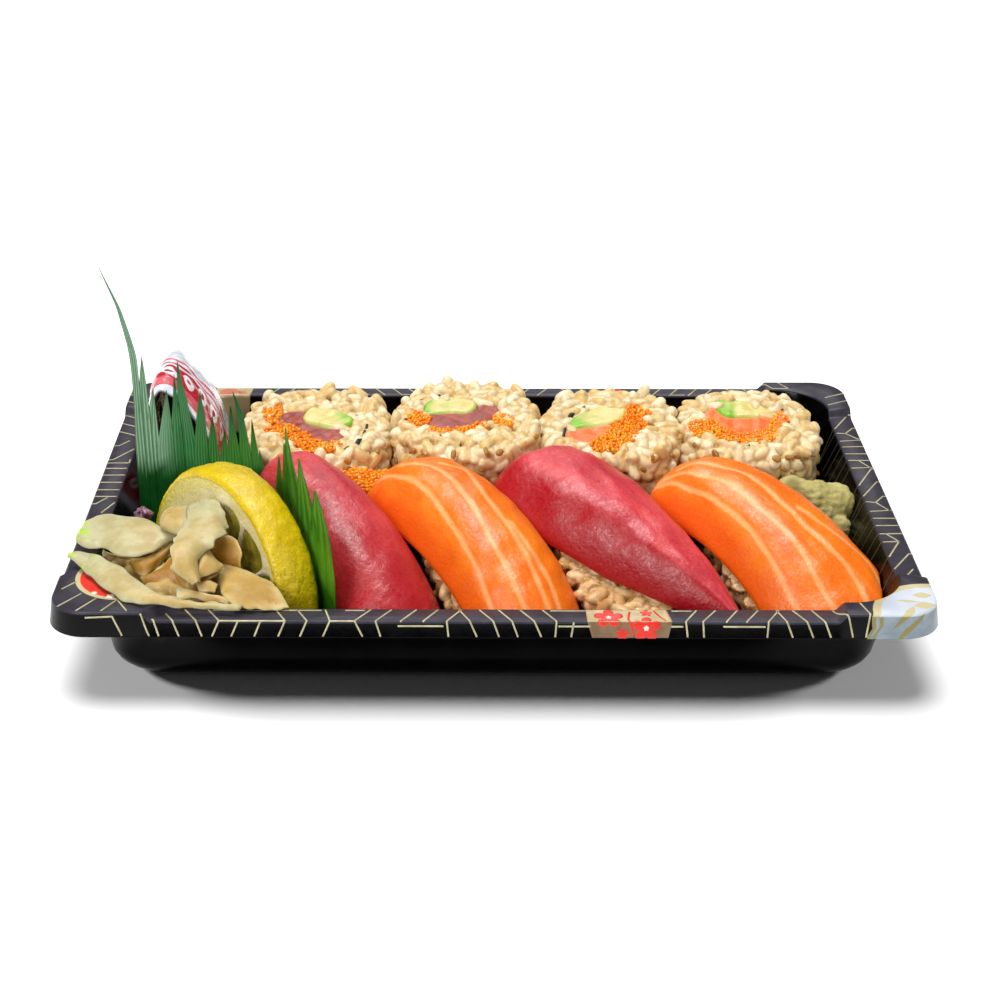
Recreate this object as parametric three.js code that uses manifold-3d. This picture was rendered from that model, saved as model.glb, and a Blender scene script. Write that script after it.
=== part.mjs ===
// Takeaway sushi tray, filled: a thin black tray with four nigiri, four cut rolls,
// pickled ginger, a lemon slice, cut-leaf dividers, a folded sauce sachet and wasabi.
// Millimetres. +X runs to the right along the tray, +Y to its back, +Z up.
// The origin is the centre of the underside, on the surface that the tray stands on.
import * as THREE from 'three';
import { mergeVertices } from 'three/addons/utils/BufferGeometryUtils.js';
import Module from 'manifold-3d';

const wasm = await Module();
wasm.setup();

// ---------------------------------------------------------------- driving sizes
const GAP = 0.3;              // air left between two pieces that touch
const CUT_GAP = 0.45;         // the same, for a piece trimmed against a curved neighbour

const tray = {
  halfLength: 108,            // outside of the lip, along X
  halfWidth: 70,              // outside of the lip, along Y
  rimTop: 22.2,               // top of the flat rim
  lipBottom: 18.2,            // lower edge of the turned-down skirt
  rimWidth: 6.4,              // flat part of the rim
  skirtLean: 1.1,             // the top edge stands in from the lip by this much
  cornerRadius: 10,
  mouthRadius: 12.5,          // plan radius of the inside corners
  sheet: 0.8,                 // thickness of the formed sheet
  earRise: 2.2,               // the four corners of the rim stand up by this much
  earStartX: 84.5,
  earStartY: 51,
  earBevel: 2.6,              // length of the slope up to a corner
  baseHalfLength: 87.5,       // flat of the underside
  baseHalfWidth: 54.3,
  baseRadius: 10,
  footRound: 8,               // rounding between floor and wall
  cornerSteps: 4,
};

const FLOOR = tray.sheet + GAP;   // lowest level of the food

const grainSize = { length: 6.2, width: 3.1, height: 2.7 };

const rolls = [
  { x: -48.2, y: 26.5, radius: 21.1, top: 30.6, turn: -24, fish: 'tuna', seed: 11 },
  { x: -6.6, y: 28.0, radius: 21.0, top: 32.2, turn: 8, fish: 'tuna', seed: 12 },
  { x: 34.2, y: 27.0, radius: 20.1, top: 30.6, turn: 22, fish: 'salmon', seed: 13 },
  { x: 73.0, y: 27.2, radius: 19.8, top: 30.8, turn: -6, fish: 'salmon', seed: 14 },
];
const rollShape = {
  tilt: 0.10,                 // rise of the cut face towards the back, mm per mm
  fillingRadius: 12.2,
  wrapThickness: 0.5,
  sides: 16,
  squareness: 0.86,           // rolls packed side by side are a little square
  grainsOnTop: 8,
  grainsOnSide: 6,
  bump: 0.8,                  // unevenness of the rice between the loose grains
  avocadoFrom: 2.6,           // the filling is laid in bands, front to back
  fishFrom: -5.6,
  avocadoReach: 0.78,         // share of the band's width that the avocado takes
};

// A slice lies over its rice from behind the peak down to the front wall of the tray.
// left and right are its half widths at the back, the middle and the front.
const nigiri = [
  {
    name: 'tuna_slice_1', fish: 'tuna', peak: [-54, -5, 35], heading: 31, back: 12, front: 60,
    left: [11, 10, 11], right: [13, 18, 18], ends: [23, 11], sideDrop: [13, 11], thickness: 7.5, seed: 21,
    rice: { x: -34, y: -29, heading: 27 },
  },
  {
    name: 'salmon_slice_1', fish: 'salmon', peak: [-17, -7, 34.5], heading: 28, back: 14, front: 56,
    left: [19, 11, 9], right: [11, 19, 20], ends: [23, 11], sideDrop: [12, 9], thickness: 7, seed: 22,
    rice: { x: -1, y: -31, heading: 26 },
  },
  {
    name: 'tuna_slice_2', fish: 'tuna', peak: [17, -1, 35.5], heading: 36, back: 12, front: 67,
    left: [18, 15.5, -7], right: [14, 14, 11], ends: [23, 11], sideDrop: [14, 9], thickness: 7.5, seed: 23,
    rice: { x: 30, y: -25, heading: 22 },
  },
  {
    name: 'salmon_slice_2', fish: 'salmon', peak: [58, -8, 35], heading: 30, back: 14, front: 56,
    left: [18, 11, 12], right: [11, 20, 19], ends: [23, 11], sideDrop: [12, 9], thickness: 7, seed: 24,
    rice: { x: 74, y: -32, heading: 26 },
  },
];
const sliceSteps = { along: 10, across: 6 };
const riceBall = {
  length: 54,
  width: 26,
  grains: 16,
  bump: 0.8,
};

const lemon = {
  centre: [-71.4, -33.1, 10.8],
  turn: 50,                   // how far the cut face is turned from the front to the left
  lean: 5,                    // and how far it leans back
  radius: 30.5,
  pulpRadius: 23.5,
  thickness: 9.4,
  bulge: 0.8,                 // the rind is fuller half way through the slice
  chord: 9.6,                 // the slice is cut flat this far below its centre
  sides: 28,
};

const gingerHeap = { centre: [-81, -44, 9], reach: [17, 15, 14] };
const gingerSlices = [
  { at: [-94.5, -33.5, 25.4], heading: -6, length: 25, width: 21, tilt: 3, roll: 8, curl: 1.4 },
  { at: [-85, -54.5, 26.4], heading: -23, length: 45, width: 9, tilt: -2, roll: -8, curl: 1.0 },
  { at: [-75.5, -34, 28.5], heading: -84, length: 30, width: 14, tilt: -22, roll: 10, curl: 3.0 },
  { at: [-82.5, -24, 27], heading: -50, length: 15, width: 9, tilt: -12, roll: 18, curl: 2.0 },
  { at: [-86, -47, 22.5], heading: -10, length: 24, width: 13, tilt: -4, roll: -24, curl: 2.2 },
  { at: [-68, -45, 24], heading: -36, length: 20, width: 13, tilt: -14, roll: 26, curl: 2.6 },
  { at: [-61, -53, 20.5], heading: -14, length: 26, width: 14, tilt: -8, roll: -18, curl: 2.2 },
  { at: [-70, -57, 22.2], heading: -6, length: 18, width: 6, tilt: -2, roll: -30, curl: 1.2 },
];
const gingerThickness = 1.5;

const leaf = { thickness: 0.5, rows: 4 };
// Each tooth is [place along the strip, height of its tip]; valleys lie between the tips.
const leafStrips = [
  {
    name: 'leaf_divider_back', from: [-93.6, 0.5], to: [-59.0, -3.8], wave: 1.0, foot: 1.2,
    teeth: [[0.04, 86], [0.10, 61], [0.20, 51], [0.27, 56], [0.34, 60], [0.46, 52], [0.57, 45],
      [0.71, 50], [0.84, 43], [0.94, 37]],
    valleyDepth: 12, lean: -7.4,
  },
  {
    name: 'leaf_divider_front', from: [-57.5, -14.5], to: [-39.8, -52], wave: 0.6, foot: 1.2,
    teeth: [[0.05, 40], [0.12, 45], [0.20, 50], [0.31, 46], [0.45, 47], [0.62, 41], [0.86, 31]],
    valleyDepth: 8, lean: 0,
  },
];

const sachet = {
  front: 9, back: 37,         // Y of its two ends
  ridge: [-88.6, 47.5],       // X and Z of the fold
  leftFoot: [-91.8, 3.4],
  rightFoot: [-71.8, 1.7],
  thickness: 3.4, seal: 0.8,
};

const wasabi = { x: 88.5, y: 0 };
const roeClump = { x: -35.5, y: 3.5, top: 25.5, seed: 42 };
const pickleBit = { x: -90.0, y: -24.2, z: 27.4, radius: 2.0 };

// ---------------------------------------------------------------- finishes
const finishes = {
  tray: { color: 0x16151a, roughness: 0.28, metalness: 0 },
  rice: { color: 0xe2cf9e, roughness: 0.5, metalness: 0 },
  nigiriRice: { color: 0xc4a06a, roughness: 0.42, metalness: 0 },
  nori: { color: 0x14180f, roughness: 0.5, metalness: 0 },
  tuna: { color: 0xc23a50, roughness: 0.35, metalness: 0 },
  salmon: { color: 0xf98228, roughness: 0.32, metalness: 0 },
  avocado: { color: 0xdfe27e, roughness: 0.5, metalness: 0 },
  roe: { color: 0xfa7f16, roughness: 0.25, metalness: 0 },
  rind: { color: 0xf0dc2a, roughness: 0.45, metalness: 0 },
  pulp: { color: 0xa8962e, roughness: 0.3, metalness: 0 },
  ginger: { color: 0xead9a2, roughness: 0.35, metalness: 0 },
  leaf: { color: 0x2b8a38, roughness: 0.4, metalness: 0 },
  film: { color: 0xd43b44, roughness: 0.35, metalness: 0 },
  wasabi: { color: 0xaab070, roughness: 0.7, metalness: 0 },
  pickle: { color: 0x7a3a50, roughness: 0.4, metalness: 0 },
};

// ---------------------------------------------------------------- small tools
function randomFrom(seed) {
  let state = seed * 2654435761 >>> 0;
  return () => {
    state = (state + 0x6d2b79f5) >>> 0;
    let mixed = Math.imul(state ^ (state >>> 15), 1 | state);
    mixed = (mixed + Math.imul(mixed ^ (mixed >>> 7), 61 | mixed)) ^ mixed;
    return ((mixed ^ (mixed >>> 14)) >>> 0) / 4294967296;
  };
}

const radians = THREE.MathUtils.degToRad;
const lerp = THREE.MathUtils.lerp;
const vector = (list) => new THREE.Vector3(list[0], list[1], list[2]);

// The smooth curve through a value at 0, one at a half and one at 1.
function through(values, u) {
  const [start, middle, end] = values;
  return start * (1 - u) * (1 - 2 * u) + middle * 4 * u * (1 - u) + end * u * (2 * u - 1);
}

function geometryOf(points, faces) {
  const geometry = new THREE.BufferGeometry();
  const flat = points.flatMap((point) => [point.x, point.y, point.z]);
  geometry.setAttribute('position', new THREE.Float32BufferAttribute(flat, 3));
  geometry.setIndex(facingOut(points, faces));
  return geometry;
}

// Turns every face over when the surface is inside out.
function facingOut(points, faces) {
  let volume = 0;
  for (let i = 0; i < faces.length; i += 3) {
    const [a, b, c] = [points[faces[i]], points[faces[i + 1]], points[faces[i + 2]]];
    volume += a.dot(b.clone().cross(c));
  }
  return volume > 0 ? faces : faces.slice().reverse();
}

function solidOf(geometry) {
  const bare = geometry.clone();
  bare.deleteAttribute('normal');
  bare.deleteAttribute('uv');
  const merged = mergeVertices(bare, 1e-4);
  return new wasm.Manifold(new wasm.Mesh({
    numProp: 3,
    vertProperties: Float32Array.from(merged.attributes.position.array),
    triVerts: Uint32Array.from(merged.index.array),
  }));
}

function geometryFrom(solid) {
  const mesh = solid.getMesh();
  const geometry = new THREE.BufferGeometry();
  geometry.setAttribute('position', new THREE.Float32BufferAttribute(mesh.vertProperties, 3));
  geometry.setIndex(Array.from(mesh.triVerts));
  return geometry;
}

function joined(solids) {
  return solids.reduce((whole, solid) => whole.add(solid));
}

// Keeps the largest piece of a solid and drops what a cut has left loose.
function largestPiece(solid) {
  const pieces = solid.decompose();
  return pieces.reduce((best, piece) => (piece.volume() > best.volume() ? piece : best));
}

// The shortest move that takes every one of these faces outwards by the gap.
function moveClear(normals) {
  const move = new THREE.Vector3();
  for (let pass = 0; pass < 12; pass += 1) {
    for (const normal of normals) {
      const short = CUT_GAP - move.dot(normal);
      if (short > 0) move.addScaledVector(normal, short);
    }
  }
  return move.clampLength(0, 3 * CUT_GAP);
}

// The same solid with its faces moved outwards, used to trim a soft neighbour.
function swollen(solid) {
  const geometry = geometryFrom(solid);
  const { position } = geometry.attributes;
  const { array: corners } = geometry.index;
  const points = Array.from({ length: position.count }, (_, i) => new THREE.Vector3().fromBufferAttribute(position, i));
  const facing = points.map(() => []);
  const face = new THREE.Triangle();
  const smallest = 0.002;
  for (let i = 0; i < corners.length; i += 3) {
    const three = corners.slice(i, i + 3);
    face.set(points[three[0]], points[three[1]], points[three[2]]);
    if (face.getArea() < smallest) continue;
    const normal = face.getNormal(new THREE.Vector3());
    three.forEach((corner) => facing[corner].push(normal));
  }
  points.forEach((point, i) => point.add(moveClear(facing[i])).toArray(position.array, i * 3));
  return solidOf(geometry).add(solid);
}

// Cuts a solid back to leave room for its neighbours, given as swollen solids.
function trimmed(solid, rooms) {
  return largestPiece(rooms.reduce((left, room) => left.subtract(room), solid));
}

// A closed skin through rings of equal count, ended by one point at either end.
function loftedSolid(rings, startPoint, endPoint) {
  const count = rings[0].length;
  const points = [startPoint, ...rings.flat(), endPoint];
  const last = points.length - 1;
  const faces = [];
  for (let i = 0; i < count; i += 1) {
    const next = (i + 1) % count;
    faces.push(0, 1 + next, 1 + i);
    for (let ring = 0; ring < rings.length - 1; ring += 1) {
      const low = 1 + ring * count;
      const high = low + count;
      faces.push(low + i, low + next, high + next, low + i, high + next, high + i);
    }
    const top = 1 + (rings.length - 1) * count;
    faces.push(last, top + i, top + next);
  }
  return geometryOf(points, faces);
}

// A solid between two like surfaces, both given over u and v from 0 to 1.
function sheetSolid(rows, columns, upperAt, lowerAt) {
  const points = [];
  const faces = [];
  const index = (side, row, column) => side * (rows + 1) * (columns + 1) + row * (columns + 1) + column;
  for (const surface of [upperAt, lowerAt]) {
    for (let row = 0; row <= rows; row += 1) {
      for (let column = 0; column <= columns; column += 1) {
        points.push(surface(row / rows, column / columns));
      }
    }
  }
  for (let row = 0; row < rows; row += 1) {
    for (let column = 0; column < columns; column += 1) {
      const [a, b] = [index(0, row, column), index(0, row, column + 1)];
      const [c, d] = [index(0, row + 1, column), index(0, row + 1, column + 1)];
      faces.push(a, c, b, b, c, d);
      const [e, f] = [index(1, row, column), index(1, row, column + 1)];
      const [g, h] = [index(1, row + 1, column), index(1, row + 1, column + 1)];
      faces.push(e, f, g, f, h, g);
    }
  }
  addBorder(faces, rows, columns, index);
  return geometryOf(points, faces);
}

// The narrow wall round the edge of a sheet.
function addBorder(faces, rows, columns, index) {
  const edge = [];
  for (let column = 0; column < columns; column += 1) edge.push([0, column]);
  for (let row = 0; row < rows; row += 1) edge.push([row, columns]);
  for (let column = columns; column > 0; column -= 1) edge.push([rows, column]);
  for (let row = rows; row > 0; row -= 1) edge.push([row, 0]);
  edge.forEach(([row, column], i) => {
    const [nextRow, nextColumn] = edge[(i + 1) % edge.length];
    const [a, b] = [index(0, row, column), index(0, nextRow, nextColumn)];
    const [c, d] = [index(1, row, column), index(1, nextRow, nextColumn)];
    faces.push(a, b, c, b, d, c);
  });
}

function meshOf(name, geometry, finish) {
  const mesh = new THREE.Mesh(geometry, new THREE.MeshStandardMaterial(finishes[finish]));
  mesh.name = name;
  return mesh;
}

// ---------------------------------------------------------------- the tray
// One ring of the tray: a rounded rectangle whose corners may stand higher than its sides.
function trayRing({ halfX, halfY, radius, z, earZ = z, earX, earY }) {
  const quarter = [];
  const startX = Math.min(earX ?? tray.earStartX, halfX - radius);
  const startY = Math.min(earY ?? tray.earStartY, halfY - radius);
  quarter.push([halfX, startY - tray.earBevel, z], [halfX, startY, earZ]);
  for (let step = 0; step <= tray.cornerSteps; step += 1) {
    const angle = (step / tray.cornerSteps) * Math.PI / 2;
    quarter.push([
      halfX - radius + radius * Math.cos(angle),
      halfY - radius + radius * Math.sin(angle),
      earZ,
    ]);
  }
  quarter.push([startX, halfY, earZ], [startX - tray.earBevel, halfY, z]);
  const back = quarter.slice().reverse();
  return [
    ...quarter.map(([x, y, h]) => new THREE.Vector3(x, y, h)),
    ...back.map(([x, y, h]) => new THREE.Vector3(-x, y, h)),
    ...quarter.map(([x, y, h]) => new THREE.Vector3(-x, -y, h)),
    ...back.map(([x, y, h]) => new THREE.Vector3(x, -y, h)),
  ];
}

// The rings of one side of the sheet from the foot's rounding up to the mouth.
function trayWall(inset, mouthX, mouthY, mouthZ) {
  const rings = [];
  for (const degrees of [0, 35, 65, 90]) {
    const angle = radians(degrees);
    const reach = (tray.footRound - inset) * Math.sin(angle);
    rings.push(trayRing({
      halfX: tray.baseHalfLength + reach,
      halfY: tray.baseHalfWidth + reach,
      radius: tray.baseRadius + reach * 0.2,
      z: tray.footRound - (tray.footRound - inset) * Math.cos(angle),
    }));
  }
  rings.push(trayRing({
    halfX: mouthX, halfY: mouthY, radius: tray.mouthRadius, z: mouthZ, earZ: mouthZ + tray.earRise,
  }));
  return rings;
}

function trayRimRings() {
  const { halfLength, halfWidth, rimTop, lipBottom, skirtLean, sheet, earRise, cornerRadius } = tray;
  const round = 0.5;
  const steps = [
    [skirtLean + sheet, rimTop - sheet, true],
    [sheet, lipBottom, false],
    [0, lipBottom, false],
    [skirtLean - 0.2, rimTop - round, true],
    [skirtLean + round, rimTop, true],
  ];
  return steps.map(([inset, z, raised]) => trayRing({
    halfX: halfLength - inset,
    halfY: halfWidth - inset,
    radius: cornerRadius - inset,
    z,
    earZ: raised ? z + earRise : z,
  }));
}

const mouthX = tray.halfLength - tray.skirtLean - tray.rimWidth;
const mouthY = tray.halfWidth - tray.skirtLean - tray.rimWidth + 0.8;

function trayGeometry() {
  const { sheet, rimTop, earRise, mouthRadius } = tray;
  const outside = trayWall(0, mouthX + sheet, mouthY + sheet, rimTop - sheet);
  const inside = trayWall(sheet, mouthX - 0.4, mouthY - 0.3, rimTop - 0.6);
  const mouth = trayRing({
    halfX: mouthX, halfY: mouthY, radius: mouthRadius, z: rimTop, earZ: rimTop + earRise,
  });
  const rings = [...outside, ...trayRimRings(), mouth, ...inside.reverse()];
  return loftedSolid(rings, new THREE.Vector3(0, 0, 0), new THREE.Vector3(0, 0, sheet));
}

// The space inside the tray, a gap clear of its walls and open upwards.
function trayHollow() {
  const inset = tray.sheet + GAP;
  const rings = trayWall(inset, mouthX - 0.4 - GAP, mouthY - 0.3 - GAP, tray.rimTop - 0.6);
  const height = 90;
  rings.push(rings.at(-1).map((point) => new THREE.Vector3(point.x, point.y, height)));
  return solidOf(loftedSolid(rings, new THREE.Vector3(0, 0, FLOOR), new THREE.Vector3(0, 0, height)));
}

// ---------------------------------------------------------------- rice
// A cooked grain, blunt at both ends, lying along its direction on the surface.
function grainSolid(at, along, outward, random) {
  const side = outward.clone().cross(along).normalize();
  const up = along.clone().cross(side).normalize();
  const stretch = 0.82 + random() * 0.36;
  const basis = new THREE.Matrix4().makeBasis(
    along.clone().normalize().multiplyScalar(grainSize.length / 2 * stretch),
    side.multiplyScalar(grainSize.width / 2),
    up.multiplyScalar(grainSize.height / 2),
  );
  basis.setPosition(at);
  return solidOf(new THREE.IcosahedronGeometry(1, 0).applyMatrix4(basis));
}

function tangentNear(outward, random) {
  const wild = new THREE.Vector3(random() - 0.5, random() - 0.5, random() - 0.5);
  return wild.sub(outward.clone().multiplyScalar(wild.dot(outward))).normalize();
}

// Points spread evenly over a unit sphere, from the top down.
function spreadDirections(count) {
  const golden = Math.PI * (3 - Math.sqrt(5));
  return Array.from({ length: count }, (_, i) => {
    const z = 1 - (2 * i + 1) / count;
    const ring = Math.sqrt(1 - z * z);
    return new THREE.Vector3(ring * Math.cos(i * golden), ring * Math.sin(i * golden), z);
  });
}

// A closed ball whose points are moved by a rule that is given each unit direction.
function bumpyBall(columns, rows, place) {
  const rings = [];
  for (let row = 1; row < rows; row += 1) {
    const polar = (row / rows) * Math.PI;
    rings.push(Array.from({ length: columns }, (_, i) => {
      const angle = (i / columns) * 2 * Math.PI;
      const ring = Math.sin(polar);
      return place(new THREE.Vector3(ring * Math.cos(angle), ring * Math.sin(angle), Math.cos(polar)));
    }));
  }
  const top = place(new THREE.Vector3(0, 0, 1));
  const bottom = place(new THREE.Vector3(0, 0, -1));
  return solidOf(loftedSolid(rings, top, bottom));
}

// ---------------------------------------------------------------- nigiri
function axesOf(piece) {
  const angle = radians(piece.heading);
  return {
    along: new THREE.Vector3(Math.sin(angle), -Math.cos(angle), 0),
    across: new THREE.Vector3(Math.cos(angle), Math.sin(angle), 0),
  };
}

// A point on the top (depth 0) or underside (depth 1) of a slice.
function slicePoint(piece, u, v, depth) {
  const { along, across } = axesOf(piece);
  const s = lerp(-piece.back, piece.front, u);
  const side = 2 * v - 1;
  const endRound = Math.sqrt(1 - 0.45 * Math.abs(2 * u - 1) ** 6);
  const [left, right] = [through(piece.left, u), through(piece.right, u)];
  const t = lerp((right - left) / 2, lerp(-left, right, v), endRound);
  const run = s < 0 ? -s / piece.back : s / piece.front;
  const fall = piece.peak[2] - piece.ends[s < 0 ? 0 : 1];
  const sideFall = piece.sideDrop[side < 0 ? 0 : 1] * Math.min(1, (left + right) / 26);
  const crown = piece.peak[2] - fall * run ** 2.1 - sideFall * Math.abs(side) ** 2.6;
  const edge = Math.max(Math.abs(side) ** 4, Math.abs(2 * u - 1) ** 8);
  return new THREE.Vector3(piece.peak[0], piece.peak[1], 0)
    .addScaledVector(along, s)
    .addScaledVector(across, t)
    .setZ(crown - depth * piece.thickness * (1 - 0.5 * edge));
}

function wholeSlice(piece) {
  const upper = (u, v) => slicePoint(piece, u, v, 0);
  const lower = (u, v) => slicePoint(piece, u, v, 1);
  return solidOf(sheetSolid(sliceSteps.along, sliceSteps.across, upper, lower));
}

// Everything above a slice's underside, less a gap: no rice stands there.
function aboveSlice(piece) {
  const ceiling = 60;
  const lower = (u, v) => slicePoint(piece, u, v, 1).add(new THREE.Vector3(0, 0, -CUT_GAP));
  const upper = (u, v) => lower(u, v).setZ(ceiling);
  return solidOf(sheetSolid(sliceSteps.along, sliceSteps.across, upper, lower));
}

function riceBallSolid(piece, hollow) {
  const random = randomFrom(piece.seed);
  const { along, across } = axesOf(piece.rice);
  const height = piece.peak[2] - piece.thickness - FLOOR;
  const half = [riceBall.length / 2, riceBall.width / 2, height / 2];
  const centre = new THREE.Vector3(piece.rice.x, piece.rice.y, FLOOR + half[2] - 0.5);
  const up = new THREE.Vector3(0, 0, 1);
  const frame = new THREE.Matrix4().makeBasis(along, across, up).setPosition(centre);
  const place = (direction, swell) => {
    const full = direction.clone();
    full.set(
      Math.sign(full.x) * Math.abs(full.x) ** 0.9 * half[0] * swell,
      Math.sign(full.y) * Math.abs(full.y) ** 0.75 * half[1] * swell,
      Math.sign(full.z) * Math.abs(full.z) ** 0.7 * half[2] * swell,
    );
    return full.applyMatrix4(frame);
  };
  const core = bumpyBall(12, 7, (direction) => place(direction, 1 - riceBall.bump / 12 * random()));
  const grains = spreadDirections(riceBall.grains * 2)
    .filter((direction) => Math.abs(direction.z) < 0.5)
    .map((direction) => {
      const outward = direction.clone().transformDirection(frame);
      return grainSolid(place(direction, 1.0), tangentNear(outward, random), outward, random);
    });
  return joined([core, ...grains]).intersect(hollow).subtract(aboveSlice(piece));
}

// ---------------------------------------------------------------- rolls
// The level of a roll's cut face, which rises a little towards the back.
function cutFace(roll, y) {
  return roll.top + rollShape.tilt * (y - roll.y);
}

// An upright piece of a roll from the floor to the cut face, over a closed outline.
function uprightSolid(roll, outline, lower, proud) {
  const bottom = outline.map(([x, y]) => new THREE.Vector3(x, y, lower));
  const top = outline.map(([x, y]) => new THREE.Vector3(x, y, cutFace(roll, y) + proud));
  const middle = outline.reduce(([sx, sy], [x, y]) => [sx + x / outline.length, sy + y / outline.length], [0, 0]);
  return loftedSolid(
    [bottom, top],
    new THREE.Vector3(middle[0], middle[1], lower),
    new THREE.Vector3(middle[0], middle[1], cutFace(roll, middle[1]) + proud),
  );
}

function circleOutline(roll, radius) {
  return Array.from({ length: rollShape.sides }, (_, i) => {
    const angle = (i / rollShape.sides) * 2 * Math.PI;
    return [roll.x + radius * Math.cos(angle), roll.y + radius * Math.sin(angle)];
  });
}

function packedOutline(roll, radius) {
  return circleOutline(roll, radius).map(([x, y]) => {
    const [cosine, sine] = [(x - roll.x) / radius, (y - roll.y) / radius];
    return [
      roll.x + radius * Math.sign(cosine) * Math.abs(cosine) ** rollShape.squareness,
      roll.y + radius * Math.sign(sine) * Math.abs(sine) ** rollShape.squareness,
    ];
  });
}

// The part of the filling's disc between two parallel lines, turned with the roll.
function bandOutline(roll, radius, from, to, reach = 1) {
  const outline = [];
  const steps = 5;
  for (const side of [1, -1]) {
    for (let step = 0; step <= steps; step += 1) {
      const k = side > 0 ? step / steps : 1 - step / steps;
      const level = lerp(from, to, k);
      const half = Math.sqrt(Math.max(radius * radius - level * level, 0.6)) * reach;
      outline.push([side * half, level]);
    }
  }
  const turn = radians(roll.turn);
  return outline.map(([x, y]) => [
    roll.x + x * Math.cos(turn) - y * Math.sin(turn),
    roll.y + x * Math.sin(turn) + y * Math.cos(turn),
  ]);
}

// The packed rice of a roll: an upright drum with an uneven side and face.
function rollCore(roll, random) {
  const levels = [[0, 0], [0, 0.5], [0, 0.94], [1.6, 1], [4.0, 1]];
  const rings = levels.map(([inset, share]) => packedOutline(roll, roll.radius - 0.5 - inset).map(([x, y]) => {
    const inwards = rollShape.bump * random() / roll.radius;
    const level = lerp(FLOOR, cutFace(roll, y) - 0.9, share) + (share === 1 ? rollShape.bump * random() : 0);
    return new THREE.Vector3(lerp(x, roll.x, inwards), lerp(y, roll.y, inwards), level);
  }));
  const top = new THREE.Vector3(roll.x, roll.y, roll.top - 0.9);
  return solidOf(loftedSolid(rings, new THREE.Vector3(roll.x, roll.y, FLOOR), top));
}

function rollRiceSolid(roll, hollow) {
  const random = randomFrom(roll.seed);
  const grains = [];
  const bore = rollShape.fillingRadius + GAP + rollShape.wrapThickness + GAP;
  const inner = bore + 0.6 + grainSize.width / 2;
  const outer = roll.radius - grainSize.width / 2;
  for (let i = 0; i < rollShape.grainsOnTop; i += 1) {
    const angle = (i / rollShape.grainsOnTop) * 2 * Math.PI + random() * 0.25;
    const radius = i % 2 ? lerp(inner, outer, 0.25) : lerp(inner, outer, 0.85);
    const y = roll.y + radius * Math.sin(angle);
    const at = new THREE.Vector3(roll.x + radius * Math.cos(angle), y, cutFace(roll, y) + 0.2);
    const outward = new THREE.Vector3(0, 0, 1);
    grains.push(grainSolid(at, tangentNear(outward, random), outward, random));
  }
  const golden = Math.PI * (3 - Math.sqrt(5));
  for (let i = 0; i < rollShape.grainsOnSide; i += 1) {
    const outward = new THREE.Vector3(Math.cos(i * golden), Math.sin(i * golden), 0);
    const z = lerp(8, roll.top - 1.5, (i + 0.5) / rollShape.grainsOnSide);
    const at = new THREE.Vector3(roll.x, roll.y, z).addScaledVector(outward, roll.radius - 1.3);
    grains.push(grainSolid(at, tangentNear(outward, random), outward, random));
  }
  const hole = solidOf(uprightSolid(roll, circleOutline(roll, bore), -1, 6));
  return largestPiece(joined([rollCore(roll, random), ...grains]).intersect(hollow).subtract(hole));
}

function rollWrap(roll) {
  const inner = rollShape.fillingRadius + GAP;
  const outer = inner + rollShape.wrapThickness;
  const skin = solidOf(uprightSolid(roll, circleOutline(roll, outer), FLOOR, -0.4));
  return skin.subtract(solidOf(uprightSolid(roll, circleOutline(roll, inner), -1, 6)));
}

function rollFillings(roll, number) {
  const { fillingRadius, avocadoFrom, fishFrom, avocadoReach } = rollShape;
  const radius = fillingRadius * Math.cos(Math.PI / rollShape.sides);
  const lower = FLOOR;
  const bands = [
    [`roll_avocado_${number}`, avocadoFrom, radius - 0.4, avocadoReach, 0.4, 'avocado'],
    [`roll_${roll.fish}_${number}`, fishFrom, avocadoFrom - GAP, 1, -0.2, roll.fish],
    [`roll_roe_${number}`, -radius + 0.4, fishFrom - GAP, 1, 0.1, 'roe'],
  ];
  return bands.map(([name, from, to, reach, proud, finish]) => {
    const outline = bandOutline(roll, radius, from, to, reach);
    return meshOf(name, uprightSolid(roll, outline, lower, proud), finish);
  });
}

// ---------------------------------------------------------------- lemon
function lemonFrame() {
  const [turn, lean] = [radians(lemon.turn), radians(lemon.lean)];
  const out = new THREE.Vector3(
    -Math.sin(turn) * Math.cos(lean),
    -Math.cos(turn) * Math.cos(lean),
    Math.sin(lean),
  );
  const right = new THREE.Vector3(0, 0, 1).cross(out).normalize();
  const up = out.clone().cross(right).normalize();
  return new THREE.Matrix4().makeBasis(right, up, out).setPosition(vector(lemon.centre));
}

// A disc of the slice between two depths behind its cut face, flat below the chord.
function lemonDisc(radius, nearDepth, farDepth, bulge, chord) {
  const steps = lemon.sides;
  const frame = lemonFrame();
  const ring = (depth, r) => Array.from({ length: steps }, (_, i) => {
    const angle = (i / steps) * 2 * Math.PI;
    const y = Math.max(r * Math.sin(angle), -chord);
    return new THREE.Vector3(r * Math.cos(angle), y, -depth).applyMatrix4(frame);
  });
  const middle = (nearDepth + farDepth) / 2;
  const rings = [ring(nearDepth, radius), ring(middle, radius + bulge), ring(farDepth, radius)];
  return loftedSolid(
    rings,
    new THREE.Vector3(0, 0, -nearDepth).applyMatrix4(frame),
    new THREE.Vector3(0, 0, -farDepth).applyMatrix4(frame),
  );
}

function lemonSolids() {
  const { radius, pulpRadius, thickness, bulge, chord } = lemon;
  const whole = solidOf(lemonDisc(radius, 0, thickness, bulge, chord));
  const hole = solidOf(lemonDisc(pulpRadius + GAP, -2, thickness + 2, 0, chord - 3));
  const pulp = solidOf(lemonDisc(pulpRadius, 0.5, thickness - 0.5, 0, chord - 3 - GAP));
  return { rind: whole.subtract(hole), pulp };
}

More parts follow.
